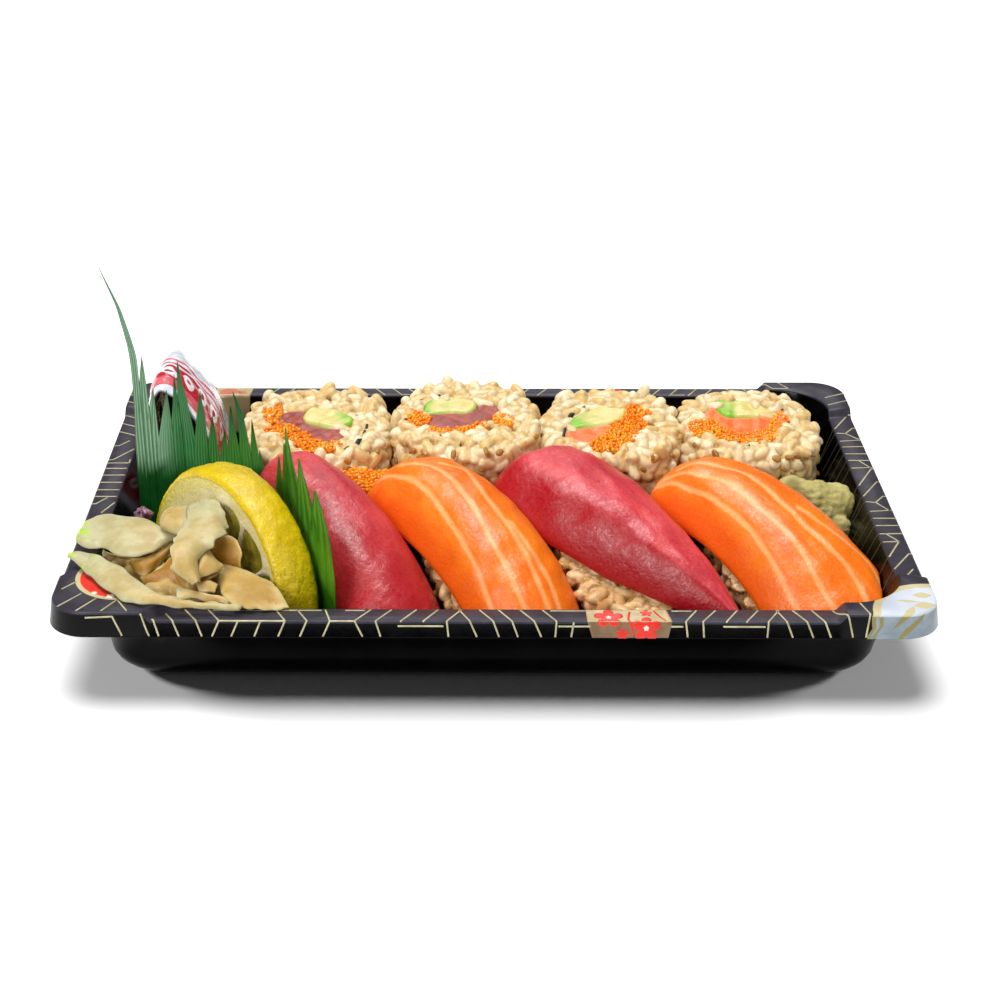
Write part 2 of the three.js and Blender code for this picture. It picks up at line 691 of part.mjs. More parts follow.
// ---------------------------------------------------------------- ginger
function gingerSlice(slice) {
  const turn = new THREE.Euler(radians(slice.roll), radians(-slice.tilt), radians(slice.heading), 'ZYX');
  const frame = new THREE.Matrix4().makeRotationFromEuler(turn).setPosition(vector(slice.at));
  const surface = (lift) => (u, v) => {
    const x = (u - 0.5) * slice.length;
    const taper = Math.sqrt(Math.max(1 - Math.abs(2 * u - 1) ** 2.6, 0.06));
    const y = (v - 0.5) * slice.width * taper;
    const wave = slice.curl * Math.sin(u * 6.3 + slice.heading) * (0.4 + Math.abs(2 * v - 1));
    return new THREE.Vector3(x, y, wave + lift).applyMatrix4(frame);
  };
  return solidOf(sheetSolid(5, 2, surface(gingerThickness / 2), surface(-gingerThickness / 2)));
}

function gingerSolid() {
  const core = new THREE.SphereGeometry(1, 10, 6);
  core.scale(...gingerHeap.reach);
  core.translate(...gingerHeap.centre);
  return joined([solidOf(core), ...gingerSlices.map(gingerSlice)]);
}

// ---------------------------------------------------------------- leaf dividers
// Height of a strip's upper edge: straight flanks from each tip down to the valleys.
function leafColumns(strip) {
  const columns = [{ place: 0, height: strip.teeth[0][1] * 0.45, lean: 0 }];
  strip.teeth.forEach(([place, height], i) => {
    columns.push({ place, height, lean: i === 0 ? strip.lean : 0 });
    const next = strip.teeth[i + 1];
    if (next) {
      const valley = Math.min(height, next[1]) - strip.valleyDepth;
      columns.push({ place: (place + next[0]) / 2, height: valley, lean: 0 });
    }
  });
  columns.push({ place: 1, height: strip.teeth.at(-1)[1] - strip.valleyDepth, lean: 0 });
  return columns;
}

function leafGeometry(strip) {
  const columns = leafColumns(strip);
  const start = new THREE.Vector2(...strip.from);
  const run = new THREE.Vector2(...strip.to).sub(start);
  const side = new THREE.Vector2(-run.y, run.x).normalize();
  const surface = (offset) => (u, v) => {
    const column = columns[Math.round(v * (columns.length - 1))];
    const bend = strip.wave * Math.sin(column.place * 9) * u + offset;
    const foot = start.clone().addScaledVector(run, column.place).addScaledVector(side, bend);
    const z = lerp(strip.foot, column.height, u);
    return new THREE.Vector3(foot.x + column.lean * u ** 4, foot.y, z);
  };
  const half = leaf.thickness / 2;
  return sheetSolid(leaf.rows, columns.length - 1, surface(half), surface(-half));
}

// ---------------------------------------------------------------- sachet
// The pack is folded over a ridge that runs front to back; u goes over the fold.
function sachetGeometry() {
  const { ridge, leftFoot, rightFoot, front, back, thickness, seal } = sachet;
  const path = new THREE.CatmullRomCurve3([
    new THREE.Vector3(leftFoot[0], 0, leftFoot[1]),
    new THREE.Vector3(leftFoot[0] - 1.4, 0, 17),
    new THREE.Vector3(leftFoot[0] - 0.8, 0, ridge[1] - 9),
    new THREE.Vector3(ridge[0], 0, ridge[1]),
    new THREE.Vector3(lerp(ridge[0], rightFoot[0], 0.55), 0, ridge[1] - 10),
    new THREE.Vector3(rightFoot[0] - 3.6, 0, ridge[1] - 21),
    new THREE.Vector3(rightFoot[0], 0, rightFoot[1]),
  ]);
  const surface = (side) => (u, v) => {
    const point = path.getPointAt(u);
    const tangent = path.getTangentAt(u);
    const plump = Math.sin(Math.PI * v) * Math.sin(Math.PI * u) ** 0.5;
    const half = (seal + (thickness - seal) * plump) / 2;
    const y = lerp(front, back, v);
    return new THREE.Vector3(point.x - tangent.z * half * side, y, point.z + tangent.x * half * side);
  };
  return sheetSolid(10, 4, surface(1), surface(-1));
}

// ---------------------------------------------------------------- wasabi, roe, pickle
function lump(x, y, z, reach, detail = 6) {
  const ball = new THREE.SphereGeometry(1, detail + 2, detail);
  ball.scale(...reach);
  ball.translate(x, y, z);
  return solidOf(ball);
}

function wasabiSolid(hollow) {
  const { x, y } = wasabi;
  const body = [
    lump(x, y + 2, 12, [11, 8, 13]),
    lump(x - 5, y + 4, 19, [7, 5.5, 6]),
    lump(x + 6, y + 1, 17, [6.5, 6, 7]),
    lump(x + 7, y - 5, 10, [4.5, 4, 7]),
  ];
  return joined(body).intersect(hollow);
}

function roeClumpSolid(hollow) {
  const { x, y, top, seed } = roeClump;
  const random = randomFrom(seed);
  const body = [lump(x, y, top / 2, [13, 8, top / 2])];
  for (let i = 0; i < 5; i += 1) {
    const at = [x - 10 + 20 * random(), y - 4 + 7 * random(), top - 2.5 + random()];
    body.push(lump(...at, [1.6, 1.4, 1.5], 4));
  }
  return joined(body).intersect(hollow);
}

function pickleSolid() {
  const { x, y, z, radius } = pickleBit;
  const bit = new THREE.IcosahedronGeometry(radius, 1);
  bit.scale(1, 0.8, 0.9);
  return solidOf(bit.translate(x, y, z));
}

// ---------------------------------------------------------------- the whole
function buildNigiri(group, hollow) {
  const sliceRooms = nigiri.map((piece) => swollen(wholeSlice(piece)));
  const ballRooms = [];
  nigiri.forEach((piece, i) => {
    const slice = trimmed(wholeSlice(piece).intersect(hollow), sliceRooms.slice(0, i).slice(-1));
    group.add(meshOf(piece.name, geometryFrom(slice), piece.fish));
    const beside = sliceRooms.filter((_, k) => Math.abs(k - i) <= 1);
    const ball = trimmed(riceBallSolid(piece, hollow), [...beside, ...ballRooms.slice(-1)]);
    ballRooms.push(swollen(ball));
    group.add(meshOf(`nigiri_rice_${i + 1}`, geometryFrom(ball), 'nigiriRice'));
  });
  return { sliceRooms, ballRooms };
}

function buildRolls(group, hollow, sliceRooms) {
  const rollRooms = [];
  rolls.forEach((roll, i) => {
    const rice = trimmed(rollRiceSolid(roll, hollow), [...sliceRooms, ...rollRooms.slice(-1)]);
    rollRooms.push(swollen(rice));
    group.add(meshOf(`roll_rice_${i + 1}`, geometryFrom(rice), 'rice'));
    group.add(meshOf(`roll_nori_${i + 1}`, geometryFrom(rollWrap(roll)), 'nori'));
    for (const filling of rollFillings(roll, i + 1)) group.add(filling);
  });
  return rollRooms;
}

function buildCorner(group, hollow, traySolid, leafRooms) {
  const { rind, pulp } = lemonSolids();
  const lemonRind = largestPiece(rind.intersect(hollow));
  const lemonPulp = largestPiece(pulp.intersect(hollow));
  group.add(meshOf('lemon_slice', geometryFrom(lemonRind), 'rind'));
  group.add(meshOf('lemon_pulp', geometryFrom(lemonPulp), 'pulp'));
  for (const strip of leafStrips) {
    const whole = solidOf(leafGeometry(strip)).intersect(hollow);
    group.add(meshOf(strip.name, geometryFrom(trimmed(whole, leafRooms)), 'leaf'));
  }
  const ginger = trimmed(gingerSolid(), [traySolid, lemonRind, lemonPulp].map(swollen));
  group.add(meshOf('pickled_ginger', geometryFrom(ginger), 'ginger'));
  const pickle = trimmed(pickleSolid(), [swollen(ginger)]);
  group.add(meshOf('pickle_bit', geometryFrom(pickle), 'pickle'));
  group.add(meshOf('sauce_sachet', sachetGeometry(), 'film'));
}

function buildSushiTray() {
  const group = new THREE.Group();
  const trayShape = trayGeometry();
  const hollow = trayHollow();
  group.add(meshOf('tray', trayShape, 'tray'));
  const { sliceRooms, ballRooms } = buildNigiri(group, hollow);
  const rollRooms = buildRolls(group, hollow, sliceRooms);
  buildCorner(group, hollow, solidOf(trayShape), [sliceRooms[0], ballRooms[0], rollRooms[0]]);

  const paste = trimmed(wasabiSolid(hollow), [sliceRooms[3], ballRooms[3], rollRooms[3]]);
  group.add(meshOf('wasabi', geometryFrom(paste), 'wasabi'));
  const beside = [sliceRooms, ballRooms, rollRooms].flatMap((rooms) => rooms.slice(0, 2));
  group.add(meshOf('roe_clump', geometryFrom(trimmed(roeClumpSolid(hollow), beside)), 'roe'));
  return group;
}

export default buildSushiTray();
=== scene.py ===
"""Takeaway sushi tray: a printed black tray with its rolls, nigiri, lemon, ginger and garnish.

Every length in this script is in millimetres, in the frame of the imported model, and is turned
into metres only where a mesh, a lamp or the camera is made.
"""

import logging
import math
from collections.abc import Iterable, Sequence
from dataclasses import dataclass, field
from enum import Enum

import bmesh
import bpy
import numpy as np
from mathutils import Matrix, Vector
from mathutils.bvhtree import BVHTree
from mathutils.geometry import delaunay_2d_cdt
from mathutils.kdtree import KDTree

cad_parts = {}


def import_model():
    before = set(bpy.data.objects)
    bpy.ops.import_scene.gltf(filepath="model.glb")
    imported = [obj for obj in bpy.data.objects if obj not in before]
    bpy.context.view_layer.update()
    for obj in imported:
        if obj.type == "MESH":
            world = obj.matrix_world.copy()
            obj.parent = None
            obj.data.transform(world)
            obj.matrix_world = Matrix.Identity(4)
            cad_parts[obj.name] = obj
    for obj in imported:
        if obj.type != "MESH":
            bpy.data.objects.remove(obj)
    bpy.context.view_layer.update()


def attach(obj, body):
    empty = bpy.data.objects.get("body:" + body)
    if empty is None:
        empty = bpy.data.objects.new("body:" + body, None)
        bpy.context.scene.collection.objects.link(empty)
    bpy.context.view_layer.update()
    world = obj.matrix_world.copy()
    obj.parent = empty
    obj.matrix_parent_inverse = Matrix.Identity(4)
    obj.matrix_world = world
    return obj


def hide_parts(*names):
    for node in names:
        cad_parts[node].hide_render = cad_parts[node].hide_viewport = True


log = logging.getLogger("sushi_tray")

MM = 0.001                      # metres in a millimetre
BODY = "root"
FLOOR = 1.1                     # lowest level of the food, just over the tray's sheet

Array = np.ndarray
Colour = tuple[float, float, float, float]
Marks = dict[str, Array]
Node = bpy.types.Node
Socket = bpy.types.NodeSocket
Station = tuple[float, float]
Triple = tuple[float, float, float]


# ---------------------------------------------------------------- numbers and curves
def colour(code: str) -> Colour:
    """Turns a colour as painters write it, such as c8374f, into linear light.

    Args:
        code: Six hexadecimal digits, two each for red, green and blue.

    Returns:
        The linear red, green and blue, with full opacity.
    """
    parts = [int(code[i:i + 2], 16) / 255 for i in (0, 2, 4)]
    red, green, blue = (c / 12.92 if c <= 0.04045 else ((c + 0.055) / 1.055) ** 2.4 for c in parts)
    return red, green, blue, 1.0


def unit(vectors: Array) -> Array:
    """Scales vectors to length one, along the last axis."""
    return vectors / np.maximum(np.linalg.norm(vectors, axis=-1, keepdims=True), 1e-9)


def soft_step(value: Array, low: float, high: float) -> Array:
    """Rises smoothly from 0 at low to 1 at high."""
    share = np.clip((value - low) / (high - low), 0.0, 1.0)
    return share * share * (3 - 2 * share)


def curve_through(points: Sequence[Sequence[float]], steps: int, closed: bool = False) -> Array:
    """Runs a smooth curve through points.

    Args:
        points: The points to pass, in order, in any number of dimensions.
        steps: How many points the result has.
        closed: Whether the curve returns to its first point.

    Returns:
        The points of the curve, evenly spread over the given ones.
    """
    knots = np.asarray(points, float)
    count = len(knots)
    if closed:
        knots = np.vstack([knots[-1:], knots, knots[:2]])
        places = np.linspace(0, count, steps, endpoint=False)
    else:
        knots = np.vstack([2 * knots[0] - knots[1], knots, 2 * knots[-1] - knots[-2]])
        places = np.linspace(0, count - 1, steps)
    low = np.minimum(places.astype(int), len(knots) - 4)
    t = (places - low)[:, None]
    a, b, c, d = (knots[low + i] for i in range(4))
    square, cube = 2 * a - 5 * b + 4 * c - d, 3 * b - a - 3 * c + d
    return 0.5 * (2 * b + (c - a) * t + square * t ** 2 + cube * t ** 3)


def bumps(points: Array, size: float, seed: int) -> Array:
    """Makes a smooth uneven field over space.

    Args:
        points: Where the field is read, three numbers a point.
        size: About how far apart its hills are.
        seed: Which of the many such fields it is.

    Returns:
        One value for each point, mostly between -1 and 1.
    """
    waves = 8
    random = np.random.default_rng(seed)
    total = np.zeros(points.shape[:-1])
    for _ in range(waves):
        direction = unit(random.normal(size=3))
        pace = 2 * math.pi / (size * random.uniform(0.75, 1.7))
        total += np.sin(points @ direction * pace + random.uniform(0, 2 * math.pi))
    return total / math.sqrt(2 * waves) * 1.2


def distance_to_line(points: Array, line: Array) -> Array:
    """Measures how far points lie from a line of short straight stretches.

    Args:
        points: The points to measure, N rows.
        line: The corners of the line, in order.

    Returns:
        N distances.
    """
    nearest = np.full(len(points), np.inf)
    for start, end in zip(line[:-1], line[1:]):
        run = end - start
        share = np.clip(((points - start) @ run) / max(run @ run, 1e-9), 0, 1)
        nearest = np.minimum(nearest, np.linalg.norm(points - start - share[:, None] * run, axis=1))
    return nearest


def inside_outline(points: Array, outline: Array) -> Array:
    """Tells which points lie inside a closed outline in the plane."""
    inside = np.zeros(len(points), bool)
    for start, end in zip(outline, np.roll(outline, -1, axis=0)):
        crosses = (start[1] > points[:, 1]) != (end[1] > points[:, 1])
        rise = end[1] - start[1] if end[1] != start[1] else 1e-9
        edge = (end[0] - start[0]) * (points[:, 1] - start[1]) / rise + start[0]
        inside ^= crosses & (points[:, 0] < edge)
    return inside


def scattered(candidates: Array, gap: float, most: int) -> list[int]:
    """Picks points in order, leaving out each that lies too near a picked one.

    Args:
        candidates: Points in space, in the order in which they are tried.
        gap: The least distance between two picked points.
        most: How many are picked at most.

    Returns:
        The places of the picked points in the list.
    """
    picked: list[int] = []
    kept = np.empty((most, candidates.shape[1]))
    for i, point in enumerate(candidates):
        count = len(picked)
        if count == most:
            break
        if count == 0 or np.min(np.sum((kept[:count] - point) ** 2, axis=1)) > gap * gap:
            kept[count] = point
            picked.append(i)
    return picked


# ---------------------------------------------------------------- meshes
@dataclass
class Shape:
    """The points, faces and surface values of a mesh before it becomes a piece of the scene."""

    points: Array
    faces: list[Sequence[int]]
    marks: Marks = field(default_factory=dict)

    @classmethod
    def joined(cls, parts: Iterable["Shape"]) -> "Shape":
        """Puts several shapes with the same marks into one."""
        shapes = list(parts)
        starts = np.cumsum([0] + [len(shape.points) for shape in shapes[:-1]])
        faces = [[int(start) + i for i in face]
                 for shape, start in zip(shapes, starts) for face in shape.faces]
        names = shapes[0].marks
        marks = {name: np.concatenate([shape.marks[name] for shape in shapes]) for name in names}
        return cls(np.concatenate([shape.points for shape in shapes]), faces, marks)

    @classmethod
    def lofted(cls, rings: Array, marks: Marks | None = None) -> "Shape":
        """Closes a skin over rings of points, with a fan over the first and the last ring.

        Args:
            rings: Points by ring, place round the ring, and x, y, z.
            marks: Surface values by name, each by ring and place.

        Returns:
            The closed shape.
        """
        count, around = rings.shape[:2]
        index = np.arange(count * around).reshape(count, around)
        nxt = np.roll(index, -1, axis=1)
        quads = np.stack([index[:-1], nxt[:-1], nxt[1:], index[1:]], axis=-1).reshape(-1, 4)
        first, last = count * around, count * around + 1
        faces = quads.tolist()
        faces += [[first, int(b), int(a)] for a, b in zip(index[0], nxt[0])]
        faces += [[last, int(a), int(b)] for a, b in zip(index[-1], nxt[-1])]
        points = np.vstack([rings.reshape(-1, 3), rings[0].mean(0), rings[-1].mean(0)])
        values = {
            name: np.concatenate([mark.reshape(count * around, -1), mark[:1].mean(1), mark[-1:].mean(1)])
            if mark.ndim == 3 else np.concatenate([mark.ravel(), [mark[0].mean(), mark[-1].mean()]])
            for name, mark in (marks or {}).items()
        }
        return cls(points, faces, values)

    @classmethod
    def sheet(cls, upper: Array, lower: Array, marks: Marks | None = None) -> "Shape":
        """Closes a thin sheet between two surfaces.

        Args:
            upper: The points of one face, by row, column, and x, y, z.
            lower: The points of the other face, in the same order.
            marks: Surface values by name, each by row and column, alike on both faces.

        Returns:
            The closed sheet.
        """
        rows, columns = upper.shape[:2]
        behind = rows * columns
        index = np.arange(behind).reshape(rows, columns)
        quads = np.stack([index[:-1, :-1], index[:-1, 1:], index[1:, 1:], index[1:, :-1]], axis=-1)
        back = quads[..., ::-1] + behind
        faces = quads.reshape(-1, 4).tolist() + back.reshape(-1, 4).tolist()
        rim = [(index[0, :-1], index[0, 1:]), (index[1:, 0][::-1], index[:-1, 0][::-1]),
               (index[-1, 1:][::-1], index[-1, :-1][::-1]), (index[:-1, -1], index[1:, -1])]
        for starts, ends in rim:
            faces += [[b, a, a + behind, b + behind] for a, b in zip(starts.tolist(), ends.tolist())]
        points = np.vstack([upper.reshape(-1, 3), lower.reshape(-1, 3)])
        values = {name: np.concatenate([mark.ravel(), mark.ravel()]) for name, mark in (marks or {}).items()}
        return cls(points, faces, values)

    @classmethod
    def prism(cls, upper: Array, lower: Array, triangles: list[Sequence[int]], rim: int,
              shade: Array) -> "Shape":
        """Closes a solid between two faces that are filled with the same triangles.

        Args:
            upper: The points of the upper face, those of its outline first.
            lower: The points of the lower face, in the same order.
            triangles: The triangles of one face.
            rim: How many points the outline has.
            shade: The mark named shade on the upper face; the lower one has it in full.

        Returns:
            The closed solid.
        """
        count = len(upper)
        faces = [list(face) for face in triangles]
        faces += [[i + count for i in reversed(face)] for face in triangles]
        faces += [[i, (i + 1) % rim, (i + 1) % rim + count, i + count] for i in range(rim)]
        return cls(np.vstack([upper, lower]), faces, {"shade": np.concatenate([shade, np.ones(count)])})

    @classmethod
    def ribbon(cls, middle: Array, sideways: Array, lift: Array) -> "Shape":
        """Closes a thin flat strip along a line, from its half width and half thickness."""
        return cls.lofted(np.stack([middle - sideways + lift, middle + sideways + lift,
                                    middle + sideways - lift, middle - sideways - lift], axis=1))

    def tree(self) -> BVHTree:
        """Makes the search tree of the shape, in millimetres."""
        return BVHTree.FromPolygons([Vector(point) for point in self.points], self.faces)

    def piece(self, name: str, finish: "Finish", slot: str, *nodes: str) -> bpy.types.Object:
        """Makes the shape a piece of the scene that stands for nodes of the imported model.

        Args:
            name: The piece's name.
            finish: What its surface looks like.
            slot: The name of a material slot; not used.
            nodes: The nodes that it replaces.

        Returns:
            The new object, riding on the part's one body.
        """
        mesh = bpy.data.meshes.new(name)
        mesh.from_pydata((self.points * MM).tolist(), [], self.faces)
        for label, values in self.marks.items():
            vector = values.ndim == 2
            attribute = mesh.attributes.new(label, "FLOAT_VECTOR" if vector else "FLOAT", "POINT")
            attribute.data.foreach_set("vector" if vector else "value", values.astype(np.float32).ravel())
        build = bmesh.new()
        build.from_mesh(mesh)
        bmesh.ops.dissolve_degenerate(build, edges=build.edges, dist=1e-7)
        bmesh.ops.recalc_face_normals(build, faces=build.faces)
        build.to_mesh(mesh)
        build.free()
        mesh.shade_smooth()
        mesh.materials.append(finish.material())
        item = bpy.data.objects.new(name, mesh)
        bpy.context.scene.collection.objects.link(item)
        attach(item, BODY)
        if nodes:
            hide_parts(*nodes)
        log.info("%s: %d faces", name, len(mesh.polygons))
        return item


def ball(rings: int, around: int) -> Shape:
    """Makes a ball of radius one whose poles lie on the x axis."""
    angles = np.linspace(-math.pi / 2, math.pi / 2, rings + 2)[1:-1]
    turns = np.linspace(0, 2 * math.pi, around, endpoint=False)
    radius = np.cos(angles)[:, None]
    grid = np.stack([
        np.broadcast_to(np.sin(angles)[:, None], (rings, around)),
        radius * np.cos(turns),
        radius * np.sin(turns),
    ], axis=-1)
    shape = Shape.lofted(grid)
    shape.points[-2] = (-1, 0, 0)
    shape.points[-1] = (1, 0, 0)
    return shape


def copies(pattern: Shape, centres: Array, frames: Array, marks: Marks) -> Shape:
    """Repeats a small shape at many places.

    Args:
        pattern: The shape, around the origin.
        centres: Where the copies go, N rows.
        frames: For each copy the three vectors that its own axes become, N by 3 by 3.
        marks: One value for each copy, by name.

    Returns:
        All the copies as one shape.
    """
    points = centres[:, None, :] + pattern.points @ frames
    size = len(pattern.points)
    starts = range(0, size * len(centres), size)
    faces = [[start + i for i in face] for start in starts for face in pattern.faces]
    values = {name: np.repeat(mark, size) for name, mark in marks.items()}
    return Shape(points.reshape(-1, 3), faces, values)


def grown(shape: Shape, voxel: float, rounds: int) -> tuple[Array, Array, list[list[int]]]:
    """Melts overlapping closed shapes into one soft skin.

    Args:
        shape: The shapes, in one.
        voxel: The size of the cubes in which they are melted.
        rounds: How often the skin is smoothed.

    Returns:
        The skin's points, their outward directions, and its faces.
    """
    mesh = bpy.data.meshes.new("melting")
    mesh.from_pydata(shape.points.tolist(), [], shape.faces)
    item = bpy.data.objects.new("melting", mesh)
    bpy.context.scene.collection.objects.link(item)
    remesh = item.modifiers.new("grown", "REMESH")
    remesh.mode = "VOXEL"
    remesh.voxel_size = voxel
    smooth = item.modifiers.new("soft", "SMOOTH")
    smooth.iterations = rounds
    bpy.context.view_layer.update()
    result = item.evaluated_get(bpy.context.evaluated_depsgraph_get()).to_mesh()
    points = np.empty(len(result.vertices) * 3)
    normals = np.empty(len(result.vertices) * 3)
    result.vertices.foreach_get("co", points)
    result.vertices.foreach_get("normal", normals)
    faces = [list(face.vertices) for face in result.polygons]
    bpy.data.objects.remove(item)
    return points.reshape(-1, 3), normals.reshape(-1, 3), faces


def filled_outline(outline: Array, spacing: float) -> tuple[Array, list[Sequence[int]], Array]:
    """Fills a closed outline in the plane with small triangles.

    Args:
        outline: The corners of the outline, in order.
        spacing: How far apart the points inside it are.

    Returns:
        The points of the plane, the triangles, and each point's distance to the outline.
    """
    low, high = outline.min(0), outline.max(0)
    xs = np.arange(low[0], high[0], spacing)
    ys = np.arange(low[1], high[1], spacing * 0.87)
    grid = np.array([(x + (j % 2) * spacing / 2, y) for j, y in enumerate(ys) for x in xs])
    closed = np.vstack([outline, outline[:1]])
    grid = grid[inside_outline(grid, outline)]
    grid = grid[distance_to_line(grid, closed) > spacing * 0.4]
    points = np.vstack([outline, grid])
    count = len(outline)
    edges = [(i, (i + 1) % count) for i in range(count)]
    found = delaunay_2d_cdt([Vector(p) for p in points], edges, [list(range(count))], 1, 1e-5)
    plane = np.array([tuple(p) for p in found[0]])
    return plane, [list(face) for face in found[2]], distance_to_line(plane, closed)


# ---------------------------------------------------------------- shader nodes
class Nodes:
    """Adds nodes to one shader tree and feeds their sockets."""

    def __init__(self, tree: bpy.types.NodeTree) -> None:
        """Takes the tree that the nodes go in."""
        self.tree = tree

    def add(self, kind: str, inputs: dict | None = None, **settings: object) -> Node:
        """Adds a node.

        Args:
            kind: Blender's name for the kind of node.
            inputs: Sockets or plain values for its inputs, by name or place.
            settings: Its other settings.

        Returns:
            The node.
        """
        node = self.tree.nodes.new(kind)
        for name, value in settings.items():
            setattr(node, name, value)
        for key, value in (inputs or {}).items():
            self.feed(node.inputs[key], value)
        return node

    def feed(self, socket: Socket, value: object) -> None:
        """Links another socket to this one, or sets its plain value."""
        if isinstance(value, Socket):
            self.tree.links.new(value, socket)
        else:
            socket.default_value = value

    def blend(self, share: object, first: object, second: object) -> Socket:
        """Mixes two colours: share 0 gives the first and 1 the second."""
        node = self.add("ShaderNodeMix", {0: share, 6: first, 7: second}, data_type="RGBA")
        return node.outputs[2]

    def calc(self, operation: str, first: object, second: object = 0.0) -> Socket:
        """Works out one number from two."""
        return self.add("ShaderNodeMath", {0: first, 1: second}, operation=operation).outputs[0]

    def times(self, first: object, second: object) -> Socket:
        """Multiplies two numbers."""
        return self.calc("MULTIPLY", first, second)

    def rise(self, value: object, low: object, high: object, least: float = 0.0, most: float = 1.0) -> Socket:
        """Goes smoothly from least, where the value is low, to most, where it is high."""
        inputs = {"Value": value, "From Min": low, "From Max": high, "To Min": least, "To Max": most}
        return self.add("ShaderNodeMapRange", inputs, interpolation_type="SMOOTHSTEP").outputs[0]

    def mark(self, name: str) -> Socket:
        """Reads a number that the mesh carries."""
        return self.add("ShaderNodeAttribute", attribute_name=name).outputs["Fac"]

    def place(self, name: str = "") -> Socket:
        """Reads the place on the object in metres, or a place that the mesh carries."""
        if name:
            return self.add("ShaderNodeAttribute", attribute_name=name).outputs["Vector"]
        return self.add("ShaderNodeTexCoord").outputs["Object"]

    def part(self, vector: object, axis: str) -> Socket:
        """Takes the X, Y or Z of a vector."""
        return self.add("ShaderNodeSeparateXYZ", {0: vector}).outputs[axis]

    def measured(self, vector: object, x: float, y: float) -> Socket:
        """Measures a place from a point of the plane."""
        return self.add("ShaderNodeVectorMath", {0: vector, 1: (x, y, 0.0)}, operation="SUBTRACT").outputs[0]

    def stretched(self, vector: object, scale: Triple) -> Socket:
        """Scales a place by three factors."""
        return self.add("ShaderNodeMapping", {"Vector": vector, "Scale": scale}).outputs[0]

    def noise(self, vector: object, scale: object, detail: float = 2.0, roughness: float = 0.5) -> Socket:
        """Reads a soft noise at a place."""
        inputs = {"Vector": vector, "Scale": scale, "Detail": detail, "Roughness": roughness}
        return self.add("ShaderNodeTexNoise", inputs).outputs["Fac"]

    def bump(self, height: object, depth: object) -> Socket:
        """Turns a height between 0 and 1 into a normal, with the depth in metres."""
        return self.add("ShaderNodeBump", {"Height": height, "Distance": depth}).outputs[0]

    def effect(self, tree: bpy.types.NodeTree, inputs: dict) -> Node:
        """Places a node group with its own values."""
        node = self.add("ShaderNodeGroup", node_tree=tree)
        for name, value in inputs.items():
            self.feed(node.inputs[name], value)
        return node

    def mottled(self, scale: float, first: str, second: str) -> Node:
        """Places the mottling between two colours, given as painters write them."""
        return self.effect(mottling(), {"Scale": scale, "First": colour(first), "Second": colour(second)})

    def moisten(self, shader: Node, lumps: float, grain: float, depth: float, shiny: float,
                dull: float) -> None:
        """Gives a shader the relief and the uneven gloss of a wet surface.

        Args:
            shader: The shader that is fed.
            lumps: How close together the larger bumps are, in bumps a metre.
            grain: The same for the fine ones.
            depth: How deep they are, in metres.
            shiny: The roughness where it is wettest.
            dull: The roughness where it is driest.
        """
        values = {"Lumps": lumps, "Grain": grain, "Depth": depth, "Shiny": shiny, "Dull": dull}
        skin = self.effect(moist_skin(), values)
        self.feed(shader.inputs["Roughness"], skin.outputs["Roughness"])
        self.feed(shader.inputs["Normal"], skin.outputs["Normal"])


class SocketKind(Enum):
    """Blender's names for the kinds of socket that the groups have."""

    NUMBER = "NodeSocketFloat"
    COLOUR = "NodeSocketColor"
    VECTOR = "NodeSocketVector"


def empty_group(
    name: str, takes: dict[str, SocketKind], gives: dict[str, SocketKind],
) -> tuple[bpy.types.NodeTree, Nodes, Node, Node]:
    """Starts a node group.

    Args:
        name: The group's name.
        takes: Its inputs, by name.
        gives: Its outputs, by name.

    Returns:
        The group, its nodes, its inlet and its outlet.
    """
    tree = bpy.data.node_groups.new(name, "ShaderNodeTree")
    for label, kind in takes.items():
        tree.interface.new_socket(name=label, in_out="INPUT", socket_type=kind.value)
    for label, kind in gives.items():
        tree.interface.new_socket(name=label, in_out="OUTPUT", socket_type=kind.value)
    nodes = Nodes(tree)
    return tree, nodes, nodes.add("NodeGroupInput"), nodes.add("NodeGroupOutput")


def moist_skin() -> bpy.types.NodeTree:
    """Gives the group for a wet surface: its small uneven normal and how dull it is in places."""
    if "moist skin" in bpy.data.node_groups:
        return bpy.data.node_groups["moist skin"]
    takes = {"Lumps": SocketKind.NUMBER, "Grain": SocketKind.NUMBER, "Depth": SocketKind.NUMBER,
             "Shiny": SocketKind.NUMBER, "Dull": SocketKind.NUMBER}
    gives = {"Normal": SocketKind.VECTOR, "Roughness": SocketKind.NUMBER}
    tree, nodes, inlet, outlet = empty_group("moist skin", takes, gives)
    here = nodes.place()
    lumps = nodes.noise(here, inlet.outputs["Lumps"], 3.0)
    grain = nodes.noise(here, inlet.outputs["Grain"], 2.0, 0.6)
    height = nodes.calc("ADD", nodes.times(lumps, 0.7), nodes.times(grain, 0.3))
    uneven = nodes.calc("ADD", grain, nodes.calc("SUBTRACT", lumps, 0.5))
    dull = nodes.add("ShaderNodeMapRange", {
        "Value": uneven, "From Min": 0.3, "From Max": 0.7,
        "To Min": inlet.outputs["Shiny"], "To Max": inlet.outputs["Dull"],
    })
    nodes.feed(outlet.inputs["Normal"], nodes.bump(height, inlet.outputs["Depth"]))
    nodes.feed(outlet.inputs["Roughness"], dull.outputs[0])
    return tree


